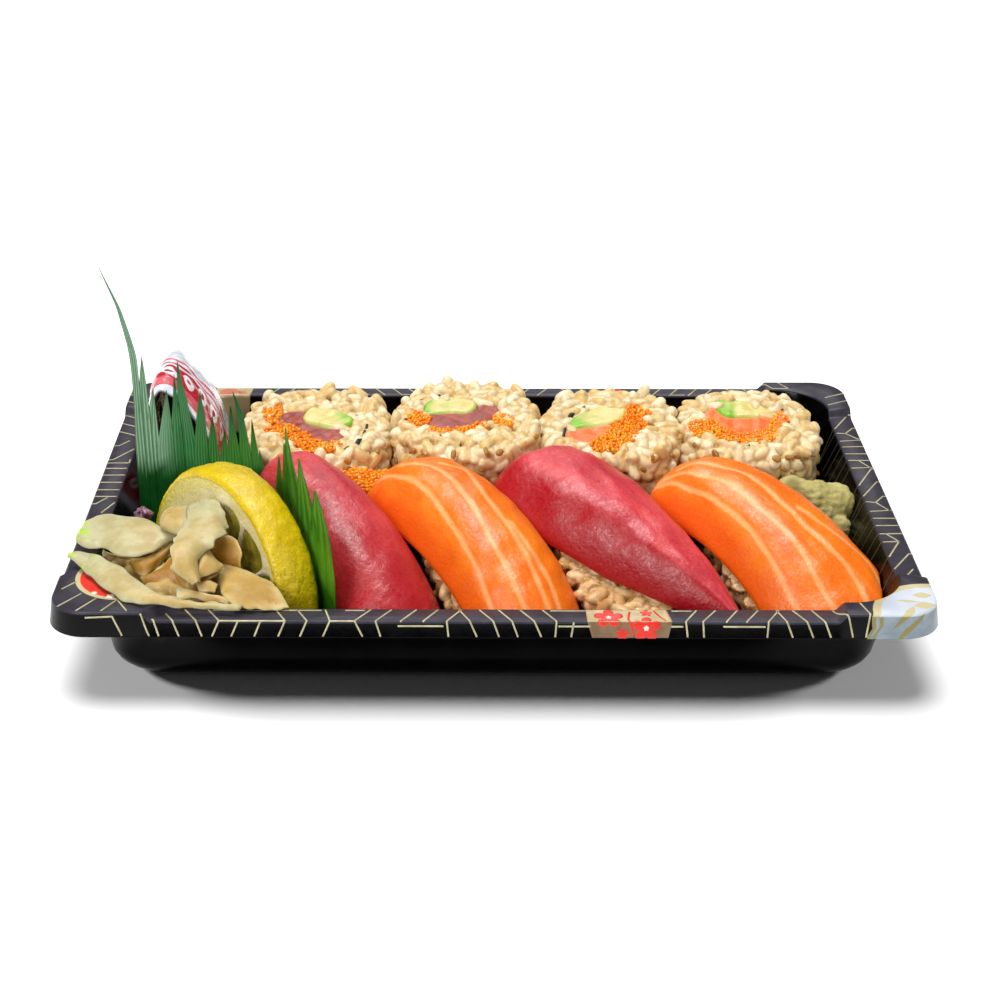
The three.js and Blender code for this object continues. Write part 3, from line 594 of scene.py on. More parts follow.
def mottling() -> bpy.types.NodeTree:
    """Gives the group that drifts between two colours in soft patches."""
    if "mottling" in bpy.data.node_groups:
        return bpy.data.node_groups["mottling"]
    takes = {"Scale": SocketKind.NUMBER, "First": SocketKind.COLOUR, "Second": SocketKind.COLOUR}
    gives = {"Colour": SocketKind.COLOUR, "Mask": SocketKind.NUMBER}
    tree, nodes, inlet, outlet = empty_group("mottling", takes, gives)
    soft = nodes.noise(nodes.place(), inlet.outputs["Scale"], 3.0, 0.55)
    mask = nodes.rise(soft, 0.36, 0.64)
    mixed = nodes.blend(mask, inlet.outputs["First"], inlet.outputs["Second"])
    nodes.feed(outlet.inputs["Colour"], mixed)
    nodes.feed(outlet.inputs["Mask"], mask)
    return tree


def specks() -> bpy.types.NodeTree:
    """Gives the group for small separate spots of uneven size."""
    if "specks" in bpy.data.node_groups:
        return bpy.data.node_groups["specks"]
    takes = {"Scale": SocketKind.NUMBER, "Size": SocketKind.NUMBER, "Share": SocketKind.NUMBER}
    tree, nodes, inlet, outlet = empty_group("specks", takes, {"Mask": SocketKind.NUMBER})
    here = nodes.place()
    scale = inlet.outputs["Scale"]
    cloud = nodes.add("ShaderNodeTexNoise", {"Vector": here, "Scale": scale}).outputs["Color"]
    wander = nodes.add("ShaderNodeVectorMath", {0: cloud, 1: (0.0006, 0.0006, 0.0006)}, operation="MULTIPLY")
    moved = nodes.add("ShaderNodeVectorMath", {0: here, 1: wander.outputs[0]}, operation="ADD")
    cells = nodes.add("ShaderNodeTexVoronoi", {"Vector": moved.outputs[0], "Scale": scale})
    chance = nodes.part(cells.outputs["Color"], "X")
    near = nodes.calc("LESS_THAN", chance, inlet.outputs["Share"])
    inner = nodes.times(inlet.outputs["Size"], 0.5)
    spot = nodes.rise(cells.outputs["Distance"], inlet.outputs["Size"], inner)
    nodes.feed(outlet.inputs["Mask"], nodes.times(spot, near))
    return tree


# ---------------------------------------------------------------- finishes
def glowing(weight: float, reach: Triple, depth: float, gloss: float = 0.5) -> dict[str, object]:
    """Gives the settings of a surface that light goes into.

    Args:
        weight: How much of the light goes in.
        reach: How far red, green and blue go, as shares of the depth.
        depth: The depth, in metres.
        gloss: How strongly the surface itself shines.

    Returns:
        The shader's settings by name.
    """
    return {"Subsurface Weight": weight, "Subsurface Radius": reach, "Subsurface Scale": depth,
            "Specular IOR Level": gloss}


@dataclass(frozen=True)
class Finish:
    """What all finishes have: a name, the plain settings of the shader, and a way to paint it."""

    name: str

    def settings(self) -> dict[str, object]:
        """Gives the shader's settings that are the same all over the surface."""
        return {}

    def paint(self, nodes: Nodes, shader: Node) -> None:
        """Feeds the shader's colour, gloss and relief where they vary over the surface."""
        raise NotImplementedError

    def material(self) -> bpy.types.Material:
        """Gives the finish as a material, built once."""
        if self.name in bpy.data.materials:
            return bpy.data.materials[self.name]
        material = bpy.data.materials.new(self.name)
        material.use_nodes = True
        material.node_tree.nodes.clear()
        nodes = Nodes(material.node_tree)
        shader = nodes.add("ShaderNodeBsdfPrincipled", self.settings())
        nodes.add("ShaderNodeOutputMaterial", {"Surface": shader.outputs[0]})
        self.paint(nodes, shader)
        return material


@dataclass(frozen=True)
class StudioFloor(Finish):
    """White paper that the tray stands on."""

    def settings(self) -> dict[str, object]:
        """Gives the paper's plain settings."""
        return {"Specular IOR Level": 0.2}

    def paint(self, nodes: Nodes, shader: Node) -> None:
        """Varies the paper a little."""
        soft = nodes.mottled(6.0, "fdfdfe", "ffffff")
        nodes.feed(shader.inputs["Base Color"], soft.outputs["Colour"])
        nodes.feed(shader.inputs["Roughness"], nodes.rise(soft.outputs["Mask"], 0, 1, 0.6, 0.7))


@dataclass(frozen=True)
class TrayPlastic(Finish):
    """Black formed plastic whose rim has a dark grey top, partly print and partly painted sheen, with two
    round fields at the front corners; its gold and pale field take painted shade on the skirt.
    """

    left_disc: Triple = (-91.3, -51.3, 10.3)      # x, y and radius
    right_disc: Triple = (105.0, -69.0, 12.9)
    leaves: tuple[tuple[float, float, float, float, float], ...] = (
        (103.6, -59.8, 0, 5.0, 2.8), (99.6, -62.6, -8, 6.2, 1.2), (103.2, -64.6, 5, 5.4, 3.4),
        (99.0, -68.0, 62, 7.0, 2.2), (102.6, -70.4, 84, 6.6, 1.8),
    )

    def settings(self) -> dict[str, object]:
        """Gives the plastic's plain settings."""
        return {"Specular IOR Level": 0.14}

    def disc_distance(self, nodes: Nodes, disc: Triple) -> Socket:
        """Measures the distance on the flat print from the centre of a round field, in millimetres."""
        moved = nodes.measured(nodes.place("flat"), disc[0], disc[1])
        return nodes.add("ShaderNodeVectorMath", {0: moved}, operation="LENGTH").outputs["Value"]

    def leaf_share(self, nodes: Nodes) -> Socket:
        """Tells where the gold leaves of the pale field are."""
        flat = nodes.place("flat")
        total = None
        for x, y, turn, length, width in self.leaves:
            moved = nodes.measured(flat, x, y)
            turned = nodes.add("ShaderNodeVectorRotate", {"Vector": moved, "Angle": math.radians(-turn)},
                               rotation_type="Z_AXIS").outputs[0]
            along = nodes.calc("DIVIDE", nodes.part(turned, "X"), length / 2)
            edge = nodes.calc("SUBTRACT", 1.0, nodes.calc("POWER", nodes.calc("ABSOLUTE", along), 1.6))
            across = nodes.calc("DIVIDE", nodes.calc("ABSOLUTE", nodes.part(turned, "Y")), width / 2)
            mask = nodes.rise(nodes.calc("SUBTRACT", edge, across), -0.05, 0.1)
            total = mask if total is None else nodes.calc("MAXIMUM", total, mask)
        return total

    def paint(self, nodes: Nodes, shader: Node) -> None:
        """Paints the sheet: glossy black, a dark grey top to the rim that is partly print and partly painted
        sheen, and the round fields, with painted shade on the skirt.
        """
        top = nodes.mark("rim_top")
        rim = nodes.mark("printed")
        sheen = nodes.mottled(90.0, "020102", "040305")
        # the grey top stands for print and for painted sheen, where the flat top reflects the light at a
        # grazing angle
        grey = nodes.mottled(260.0, "35323b", "3d3a44")
        base = nodes.blend(top, sheen.outputs["Colour"], grey.outputs["Colour"])
        # gold is paler on the rim's top and darker on the skirt: painted shade on the upright skirt
        gold = nodes.blend(top, colour("8d8250"), colour("c6bb90"))
        blur = 0.1
        near, red = self.disc_distance(nodes, self.left_disc), self.left_disc[2]
        left_gold = nodes.times(nodes.rise(near, red + 1.2 + blur, red + 1.2 - blur), rim)
        base = nodes.blend(left_gold, base, gold)
        left_red = nodes.times(nodes.rise(near, red + blur, red - blur), rim)
        base = nodes.blend(left_red, base, colour("ee3a2c"))
        far, white = self.disc_distance(nodes, self.right_disc), self.right_disc[2]
        band = nodes.times(nodes.rise(far, white + 1.9 + blur, white + 1.9 - blur), rim)
        base = nodes.blend(band, base, gold)
        # the pale field in two copies: the bright one on the top, and a darker one on the skirt as painted
        # shade
        bright = nodes.mottled(150.0, "ccd2dd", "c2c9d5")
        shaded = nodes.mottled(150.0, "7f8c95", "98a4ab")
        field = nodes.blend(top, shaded.outputs["Colour"], bright.outputs["Colour"])
        pale = nodes.times(nodes.rise(far, white + blur, white - blur), rim)
        base = nodes.blend(pale, base, field)
        on_skirt = nodes.times(nodes.calc("SUBTRACT", 1.0, top), rim)
        # on the skirt, the gap round the pale field takes the darker painted-shade colour too
        gap = nodes.times(nodes.rise(far, white, white + blur), nodes.rise(far, white + 0.9, white + 0.8))
        base = nodes.blend(nodes.times(gap, on_skirt), base, shaded.outputs["Colour"])
        bar = nodes.times(nodes.rise(far, white - 1.1, white - 1.0),
                          nodes.rise(far, white - 0.1, white - 0.2))
        base = nodes.blend(nodes.times(bar, on_skirt), base, gold)
        base = nodes.blend(nodes.times(self.leaf_share(nodes), rim), base, gold)
        nodes.feed(shader.inputs["Base Color"], base)
        fine = nodes.effect(moist_skin(), {
            "Lumps": 60.0, "Grain": 900.0, "Depth": 0.00004, "Shiny": 0.14, "Dull": 0.24,
        })
        printed = nodes.calc("ADD", fine.outputs["Roughness"], nodes.times(top, 0.14))
        nodes.feed(shader.inputs["Roughness"], printed)
        nodes.feed(shader.inputs["Normal"], fine.outputs["Normal"])


@dataclass(frozen=True)
class Ink(Finish):
    """A printed ink with a little unevenness in its colour."""

    first: str = "cfc592"
    second: str = "b9ae7c"
    metallic: float = 0.0
    shiny: float = 0.25

    def settings(self) -> dict[str, object]:
        """Gives the ink's plain settings."""
        return {"Metallic": self.metallic, "Specular IOR Level": 0.5}

    def paint(self, nodes: Nodes, shader: Node) -> None:
        """Varies the ink between its two colours."""
        soft = nodes.mottled(350.0, self.first, self.second)
        nodes.feed(shader.inputs["Base Color"], soft.outputs["Colour"])
        nodes.feed(shader.inputs["Roughness"],
                   nodes.rise(soft.outputs["Mask"], 0, 1, self.shiny, self.shiny + 0.12))


@dataclass(frozen=True)
class RawFish(Finish):
    """Raw fish: two body colours, a deeper side that is partly the cut sides' own colour and partly painted
    shade, and pale lines where the mesh says so.
    """

    flesh: str = "d8484b"
    deeper: str = "bb2c3a"
    # side: the deeper colour of the cut sides, also used as painted shade on the left band and the front end
    side: str = "a60c16"
    line: str = "e88f98"
    line_width: float = 0.5
    line_strength: float = 0.7
    speck: str = "ee949c"
    speck_strength: float = 0.45
    glow: Triple = (1.0, 0.25, 0.12)
    glow_weight: float = 0.2

    def settings(self) -> dict[str, object]:
        """Gives the flesh's plain settings."""
        return glowing(self.glow_weight, self.glow, 0.0025)

    def paint(self, nodes: Nodes, shader: Node) -> None:
        """Paints flesh, fibres, fat lines, specks, and the cut sides, with painted shade on the left band and
        the front end.
        """
        flow = nodes.place("flow")
        body = nodes.noise(nodes.stretched(flow, (0.05, 0.16, 0.2)), 1.0, 4.0, 0.6)
        base = nodes.blend(nodes.rise(body, 0.35, 0.65), colour(self.flesh), colour(self.deeper))
        fibre = nodes.noise(nodes.stretched(flow, (0.35, 2.4, 1.0)), 1.0, 3.0, 0.6)
        base = nodes.blend(nodes.rise(fibre, 0.52, 0.78, 0.0, self.speck_strength), base, colour(self.speck))
        wide = nodes.noise(nodes.stretched(flow, (0.2, 0.5, 0.5)), 1.0, 2.0)
        reach = nodes.rise(wide, 0.2, 0.8, self.line_width * 0.7, self.line_width * 1.3)
        fat = nodes.mark("fat")
        core = nodes.rise(fat, reach, nodes.times(reach, 0.1))
        gaps = nodes.noise(nodes.stretched(flow, (0.9, 1.6, 1.0)), 1.0, 3.0)
        broken = nodes.rise(gaps, 0.25, 0.5, 0.65, 1.0)
        lines = nodes.times(nodes.times(core, broken), self.line_strength)
        base = nodes.blend(lines, base, colour(self.line))
        # the side colour by the mark named side: the cut sides' own deeper colour and painted shade
        base = nodes.blend(nodes.rise(nodes.mark("side"), 0.0, 1.0, 0.0, 0.95), base, colour(self.side))
        nodes.feed(shader.inputs["Base Color"], base)
        nodes.moisten(shader, lumps=1100.0, grain=3000.0, depth=0.00017, shiny=0.22, dull=0.48)


@dataclass(frozen=True)
class CookedRice(Finish):
    """Glossy cooked grains, each with its own tone, with painted shade where they meet, towards the heart of
    the heap.
    """

    light: str = "ebdeba"
    warm: str = "d8b46e"
    deep: str = "b48646"
    # deep: the colour of the painted shade in the creases between grains
    glow_weight: float = 0.5

    def settings(self) -> dict[str, object]:
        """Gives the rice's plain settings."""
        return glowing(self.glow_weight, (1.0, 0.75, 0.45), 0.0018)

    def paint(self, nodes: Nodes, shader: Node) -> None:
        """Paints each grain by its tone, with a soft cloudy heart, and paints shade into the creases between
        grains.
        """
        tone = nodes.mark("tone")
        base = nodes.blend(nodes.rise(tone, 0.1, 0.9), colour(self.light), colour(self.warm))
        # painted shade: the deep colour where grains meet, by the mark named crease
        base = nodes.blend(nodes.rise(nodes.mark("crease"), 0.0, 1.0, 0.0, 0.6), base, colour(self.deep))
        cloud = nodes.mottled(420.0, self.light, self.warm)
        base = nodes.blend(0.3, base, cloud.outputs["Colour"])
        nodes.feed(shader.inputs["Base Color"], base)
        nodes.moisten(shader, lumps=500.0, grain=1800.0, depth=0.00012, shiny=0.24, dull=0.5)


@dataclass(frozen=True)
class SoftFood(Finish):
    """Moist food of two mottled colours and a third where the mesh says so."""

    first: str = "cfe06a"
    second: str = "f0e68a"
    third: str = "7fc23a"
    patch: float = 200.0
    lumps: float = 300.0
    depth: float = 0.0002
    shiny: float = 0.25
    dull: float = 0.45
    glow: Triple = (1.0, 0.6, 0.3)
    glow_weight: float = 0.2

    def settings(self) -> dict[str, object]:
        """Gives the food's plain settings."""
        return glowing(self.glow_weight, self.glow, 0.002)

    def paint(self, nodes: Nodes, shader: Node) -> None:
        """Paints the two colours in patches and the third by the mark named shade."""
        soft = nodes.mottled(self.patch, self.first, self.second)
        base = nodes.blend(nodes.mark("shade"), soft.outputs["Colour"], colour(self.third))
        nodes.feed(shader.inputs["Base Color"], base)
        nodes.moisten(shader, self.lumps, self.lumps * 4, self.depth, self.shiny, self.dull)


@dataclass(frozen=True)
class LemonPeel(Finish):
    """Yellow zest outside and cream pith on the cut faces."""

    def settings(self) -> dict[str, object]:
        """Gives the peel's plain settings."""
        return glowing(0.25, (1.0, 0.8, 0.3), 0.002)

    def paint(self, nodes: Nodes, shader: Node) -> None:
        """Paints pith, the yellow tint next to the zest, and the dimpled zest itself."""
        pith = nodes.mottled(160.0, "f0e2b0", "e4d290")
        tint = nodes.rise(nodes.mark("tint"), 0.0, 1.0, 0.0, 0.75)
        base = nodes.blend(tint, pith.outputs["Colour"], colour("dfcf52"))
        marks = nodes.effect(specks(), {"Scale": 260.0, "Size": 0.5, "Share": 0.25})
        stain = nodes.times(marks.outputs["Mask"], nodes.mark("stain"))
        base = nodes.blend(stain, base, colour("a8a23c"))
        zest = nodes.mottled(120.0, "dabe04", "ccac00")
        dots = nodes.effect(specks(), {"Scale": 1150.0, "Size": 0.6, "Share": 0.45})
        old = nodes.times(nodes.times(dots.outputs["Mask"], nodes.mark("old")), 0.6)
        yellow = nodes.blend(old, zest.outputs["Colour"], colour("8d8a10"))
        base = nodes.blend(nodes.rise(nodes.mark("zest"), 0.35, 0.65), base, yellow)
        nodes.feed(shader.inputs["Base Color"], base)
        nodes.moisten(shader, lumps=700.0, grain=1400.0, depth=0.0003, shiny=0.25, dull=0.5)


@dataclass(frozen=True)
class PickledGinger(Finish):
    """Thin pickled ginger: pale and translucent; its amber is partly the slices' own colour and partly
    painted shade low in the heap and in folds, and its edges are painted paler as glow.
    """

    def settings(self) -> dict[str, object]:
        """Gives the ginger's plain settings."""
        return glowing(0.3, (0.8, 0.75, 0.45), 0.0015, gloss=0.25)

    def paint(self, nodes: Nodes, shader: Node) -> None:
        """Paints the slice by its warmth, which carries painted shade and a paler painted glow at the edges,
        and by its green end, with fine fibres.
        """
        warm = nodes.mark("warm")
        base = nodes.blend(nodes.rise(warm, 0.0, 0.5), colour("aeb08c"), colour("bc9e5a"))
        cloud = nodes.mottled(180.0, "e2d4a4", "b48a34")
        base = nodes.blend(0.28, base, cloud.outputs["Colour"])
        # amber by the mark named warm: partly the slices' own colour, partly painted shade
        base = nodes.blend(nodes.rise(warm, 0.5, 1.0), base, colour("9c6a00"))
        spots = nodes.effect(specks(), {"Scale": 330.0, "Size": 0.55, "Share": 0.85})
        lime = nodes.times(spots.outputs["Mask"], nodes.mark("lime"))
        base = nodes.blend(lime, base, colour("a6cf2e"))
        nodes.feed(shader.inputs["Base Color"], base)
        nodes.moisten(shader, lumps=420.0, grain=1500.0, depth=0.00022, shiny=0.26, dull=0.5)


@dataclass(frozen=True)
class LeafPlastic(Finish):
    """Thin green plastic grass with raised ribs, with painted highlights where the ribs catch the light."""

    low: str = "0a5a20"
    high: str = "2f8f3c"
    faded: str = "8db89a"
    fresh: str = "4f9a1c"

    def settings(self) -> dict[str, object]:
        """Gives the plastic's plain settings."""
        return {"Specular IOR Level": 0.3, "Subsurface Weight": 0.1, "Subsurface Scale": 0.001}

    def paint(self, nodes: Nodes, shader: Node) -> None:
        """Paints the band at the foot, the teeth with painted highlights on their ribs, and a paler painted
        sheen.
        """
        # the mark named tooth is highest on the rib crests: a painted highlight
        base = nodes.blend(nodes.mark("tooth"), colour(self.low), colour(self.high))
        base = nodes.blend(nodes.mark("fresh"), base, colour(self.fresh))
        soft = nodes.mottled(120.0, self.low, self.high)
        base = nodes.blend(0.15, base, soft.outputs["Colour"])
        # painted sheen: pale on the rib crests and over the strip's start
        base = nodes.blend(nodes.mark("faded"), base, colour(self.faded))
        nodes.feed(shader.inputs["Base Color"], base)
        nodes.feed(shader.inputs["Roughness"], nodes.rise(soft.outputs["Mask"], 0, 1, 0.3, 0.42))
        fine = nodes.noise(nodes.stretched(nodes.place(), (1.0, 1.0, 0.1)), 900.0)
        nodes.feed(shader.inputs["Normal"], nodes.bump(fine, 0.0001))


@dataclass(frozen=True)
class SachetFilm(Finish):
    """Glossy printed film: white with red fields and plain shapes; the inside of the fold is dark."""

    ring_pitch: float = 5.4
    ring_row: float = 10.8              # from the film's front edge
    ring_half: Station = (1.75, 2.9)
    ring_slant: float = 0.35

    def settings(self) -> dict[str, object]:
        """Gives the film's plain settings."""
        return {"Specular IOR Level": 0.5, "Coat Weight": 0.4, "Coat Roughness": 0.1}

    def paint(self, nodes: Nodes, shader: Node) -> None:
        """Paints the bands and shapes by the place on the unfolded film."""
        flat = nodes.place("film")
        along, across = nodes.part(flat, "X"), nodes.part(flat, "Y")
        white = nodes.mottled(200.0, "f0f2f9", "e2e5ee")
        red = nodes.mottled(160.0, "c92a36", "bb2631")
        pink = nodes.mottled(160.0, "e06a74", "d65a66")
        stripes = ((3.0, 7.0, pink), (6.8, 15.0, red), (16.2, 17.0, red), (18.0, 19.0, pink))
        base = white.outputs["Colour"]
        for low, high, ink in stripes:
            band = nodes.times(nodes.rise(across, low - 0.1, low + 0.1),
                              nodes.rise(across, high + 0.1, high - 0.1))
            base = nodes.blend(band, base, ink.outputs["Colour"])
        cell = nodes.calc("SUBTRACT", nodes.calc("FRACT", nodes.calc("DIVIDE", along, self.ring_pitch)), 0.5)
        off_row = nodes.calc("SUBTRACT", across, self.ring_row)
        slanted = nodes.calc("ADD", nodes.times(cell, self.ring_pitch), nodes.times(off_row, self.ring_slant))
        wide = nodes.calc("DIVIDE", slanted, self.ring_half[0])
        high = nodes.calc("DIVIDE", off_row, self.ring_half[1])
        ring = nodes.calc("ADD", nodes.calc("POWER", nodes.calc("ABSOLUTE", wide), 2.0),
                          nodes.calc("POWER", nodes.calc("ABSOLUTE", high), 2.0))
        dot = nodes.times(nodes.rise(ring, 1.1, 0.9), nodes.rise(ring, 0.1, 0.2))
        base = nodes.blend(dot, base, colour("f1eff4"))
        streak = nodes.noise(nodes.stretched(flat, (0.5, 1.6, 1.0)), 1.0, 1.0)
        zone = nodes.times(nodes.rise(across, 20.0, 20.6), nodes.rise(across, 25.6, 25.0))
        faint = nodes.times(nodes.rise(streak, 0.6, 0.68, 0.0, 0.6), zone)
        base = nodes.blend(faint, base, colour("8f9bb0"))
        base = nodes.blend(nodes.mark("inside"), base, colour("1a0f08"))
        nodes.feed(shader.inputs["Base Color"], base)
        nodes.moisten(shader, lumps=150.0, grain=500.0, depth=0.0005, shiny=0.15, dull=0.35)


TRAY_PLASTIC = TrayPlastic("tray plastic")
PALE_GOLD = Ink("pale gold ink", "c4bd94", "a9a27c")
DIM_GOLD = Ink("dim gold ink", "4c482e", "3c3923")
BRIGHT_RED = Ink("bright red ink", "e23222", "d42a1a")
CORAL = Ink("coral ink", "d07a60", "c26c54")
GOLD_FIELD = Ink("gold field ink", "c2ac80", "b39d72")
# the gold field's ink darkened as painted shade, for the part of the field on the skirt
GOLD_SHADE = Ink("shaded gold ink", "86694a", "755a3c", shiny=0.15)
PALE_FIELD = Ink("pale field ink", "e6d9cf", "efe6dd")
TUNA = RawFish("raw tuna")
SALMON = RawFish(
    "raw salmon", flesh="f57e12", deeper="ec6a0c", side="ea5c02", line="fab470", line_width=1.25,
    line_strength=0.8, speck="fb9c48", speck_strength=0.4, glow=(1.0, 0.35, 0.1), glow_weight=0.25,
)
ROLL_RICE = CookedRice("roll rice")
# the nigiri rice is a darker, browner copy of the roll rice: painted shade for rice under the fish
NIGIRI_RICE = CookedRice("nigiri rice", light="dcb988", warm="c08e50", deep="82501c")
SESAME = SoftFood("sesame seed", first="c99a4e", second="b9853c", third="8f6026", lumps=800.0)
NORI = SoftFood(
    "toasted nori", first="10150f", second="1b221a", third="2c352a", lumps=500.0, shiny=0.35, dull=0.6,
    glow_weight=0.0,
)
AVOCADO = SoftFood("avocado flesh", first="d6c676", second="e2d08e", third="80b82c")
ROLL_TUNA = SoftFood(
    "tuna in the roll", first="a44c3c", second="8a3632", third="b46c62", glow=(1.0, 0.3, 0.2),
)
ROLL_SALMON = SoftFood(
    "salmon in the roll", first="ee7a3c", second="e86a30", third="f8a070", glow=(1.0, 0.4, 0.2),
)
ROE = SoftFood(
    "fish roe", first="ff8e0c", second="ffac24", third="fb7404", shiny=0.1, dull=0.2, glow=(1.0, 0.4, 0.05),
    glow_weight=0.5,
)
PEEL = LemonPeel("lemon peel")
PULP = SoftFood(
    "lemon pulp", first="94882a", second="7e7420", third="c8bc5e", shiny=0.12, dull=0.3, glow_weight=0.3,
)
GINGER = PickledGinger("pickled ginger")
BACK_LEAF = LeafPlastic("back leaf plastic", low="044416", high="1f8438", faded="bfe6cd", fresh="429412")
FRONT_LEAF = LeafPlastic("front leaf plastic", low="245a06", high="46901c", faded="a6d27a", fresh="66a612")
FILM = SachetFilm("sachet film")
# the wasabi's third colour is painted shade in the hollows of the paste
WASABI = SoftFood(
    "wasabi paste", first="b4aa62", second="c6ba78", third="8f8442", patch=260.0, lumps=900.0, depth=0.0006,
    shiny=0.5, dull=0.75, glow_weight=0.15,
)
PICKLE = SoftFood(
    "purple pickle", first="6f3049", second="a88a96", third="3f1728", patch=420.0, shiny=0.2, dull=0.4,
)


# ---------------------------------------------------------------- studio
@dataclass
class Studio:
    """The camera, the white floor and the soft lights."""

    camera_place: Triple = (-8.6, -446.8, 249.2)
    camera_tilt: float = 62.77          # degrees up from straight down
    camera_turn: float = 0.26
    lens: float = 66.45                 # on a film 36 wide
    shift: float = 0.0491
    floor_reach: float = 6000.0
    high_place: Triple = (-160, 210, 1350)
    high_power: float = 3.1             # watts a square metre
    high_spread: float = 38.0           # degrees
    room: float = 0.06
    fills: tuple[tuple[str, Triple, float, float], ...] = (
        ("left fill", (-700, -1100, 850), 700, 12.5),
        ("right fill", (900, -900, 900), 600, 3.5),
        ("back fill", (0, 1200, 900), 600, 2.0),
    )
    low_fills: tuple[tuple[str, Triple, float, float], ...] = (
        ("left side", (-1300, 260, 560), 260, 16.0),
        ("right side", (1300, 260, 560), 260, 11.0),
    )

    def build_camera(self) -> None:
        """Places the camera."""
        data = bpy.data.cameras.new("camera")
        data.lens = self.lens
        data.sensor_width = 36.0
        data.shift_x = self.shift
        data.clip_start = 0.01
        data.clip_end = 50.0
        camera = bpy.data.objects.new("camera", data)
        camera.location = Vector(self.camera_place) * MM
        camera.rotation_euler = (math.radians(self.camera_tilt), 0.0, math.radians(self.camera_turn))
        bpy.context.scene.collection.objects.link(camera)
        bpy.context.scene.camera = camera

    def build_floor(self) -> bpy.types.Object:
        """Lays the white floor and gives it back."""
        mesh = bpy.data.meshes.new("floor")
        reach = self.floor_reach * MM
        mesh.from_pydata([(-reach, -reach, 0), (reach, -reach, 0), (reach, reach, 0), (-reach, reach, 0)],
                         [], [(0, 1, 2, 3)])
        mesh.materials.append(StudioFloor("white floor").material())
        floor = bpy.data.objects.new("floor", mesh)
        bpy.context.scene.collection.objects.link(floor)
        return floor

    def hang(self, data: bpy.types.Light, place: Triple) -> bpy.types.Object:
        """Hangs a lamp at a place so that it shines on the tray."""
        lamp = bpy.data.objects.new(data.name, data)
        lamp.location = Vector(place) * MM
        lamp.rotation_euler = (-Vector(place)).to_track_quat("-Z", "Y").to_euler()
        bpy.context.scene.collection.objects.link(lamp)
        return lamp

    def build_lights(self, floor: bpy.types.Object) -> None:
        """Hangs a wide light above, and soft fill lights that leave the floor to it.

        Args:
            floor: The floor, which the fill lights don't reach.
        """
        high = bpy.data.lights.new("high light", "SUN")
        high.angle = math.radians(self.high_spread)
        high.energy = self.high_power
        self.hang(high, self.high_place)
        unlit = bpy.data.collections.new("left out of the fill")
        unlit.objects.link(floor)
        unlit.collection_objects[0].light_linking.link_state = "EXCLUDE"
        only = bpy.data.collections.new("lit by the low fill")
        only.objects.link(floor)
        for fills, receivers in ((self.fills, unlit), (self.low_fills, only)):
            for name, place, size, power in fills:
                data = bpy.data.lights.new(name, "AREA")
                data.shape = "DISK"
                data.size = size * MM
                data.energy = power
                self.hang(data, place).light_linking.receiver_collection = receivers
        world = bpy.data.worlds.new("studio")
        world.use_nodes = True
        world.node_tree.nodes["Background"].inputs["Color"].default_value = (1.0, 1.0, 1.0, 1.0)
        world.node_tree.nodes["Background"].inputs["Strength"].default_value = self.room
        bpy.context.scene.world = world
        bpy.context.scene.view_settings.view_transform = "Standard"


# ---------------------------------------------------------------- the tray and its print
class Side(Enum):
    """A side of the tray, by the direction that it faces."""

    FRONT = (0, -1)
    BACK = (0, 1)
    LEFT = (-1, 0)
    RIGHT = (1, 0)


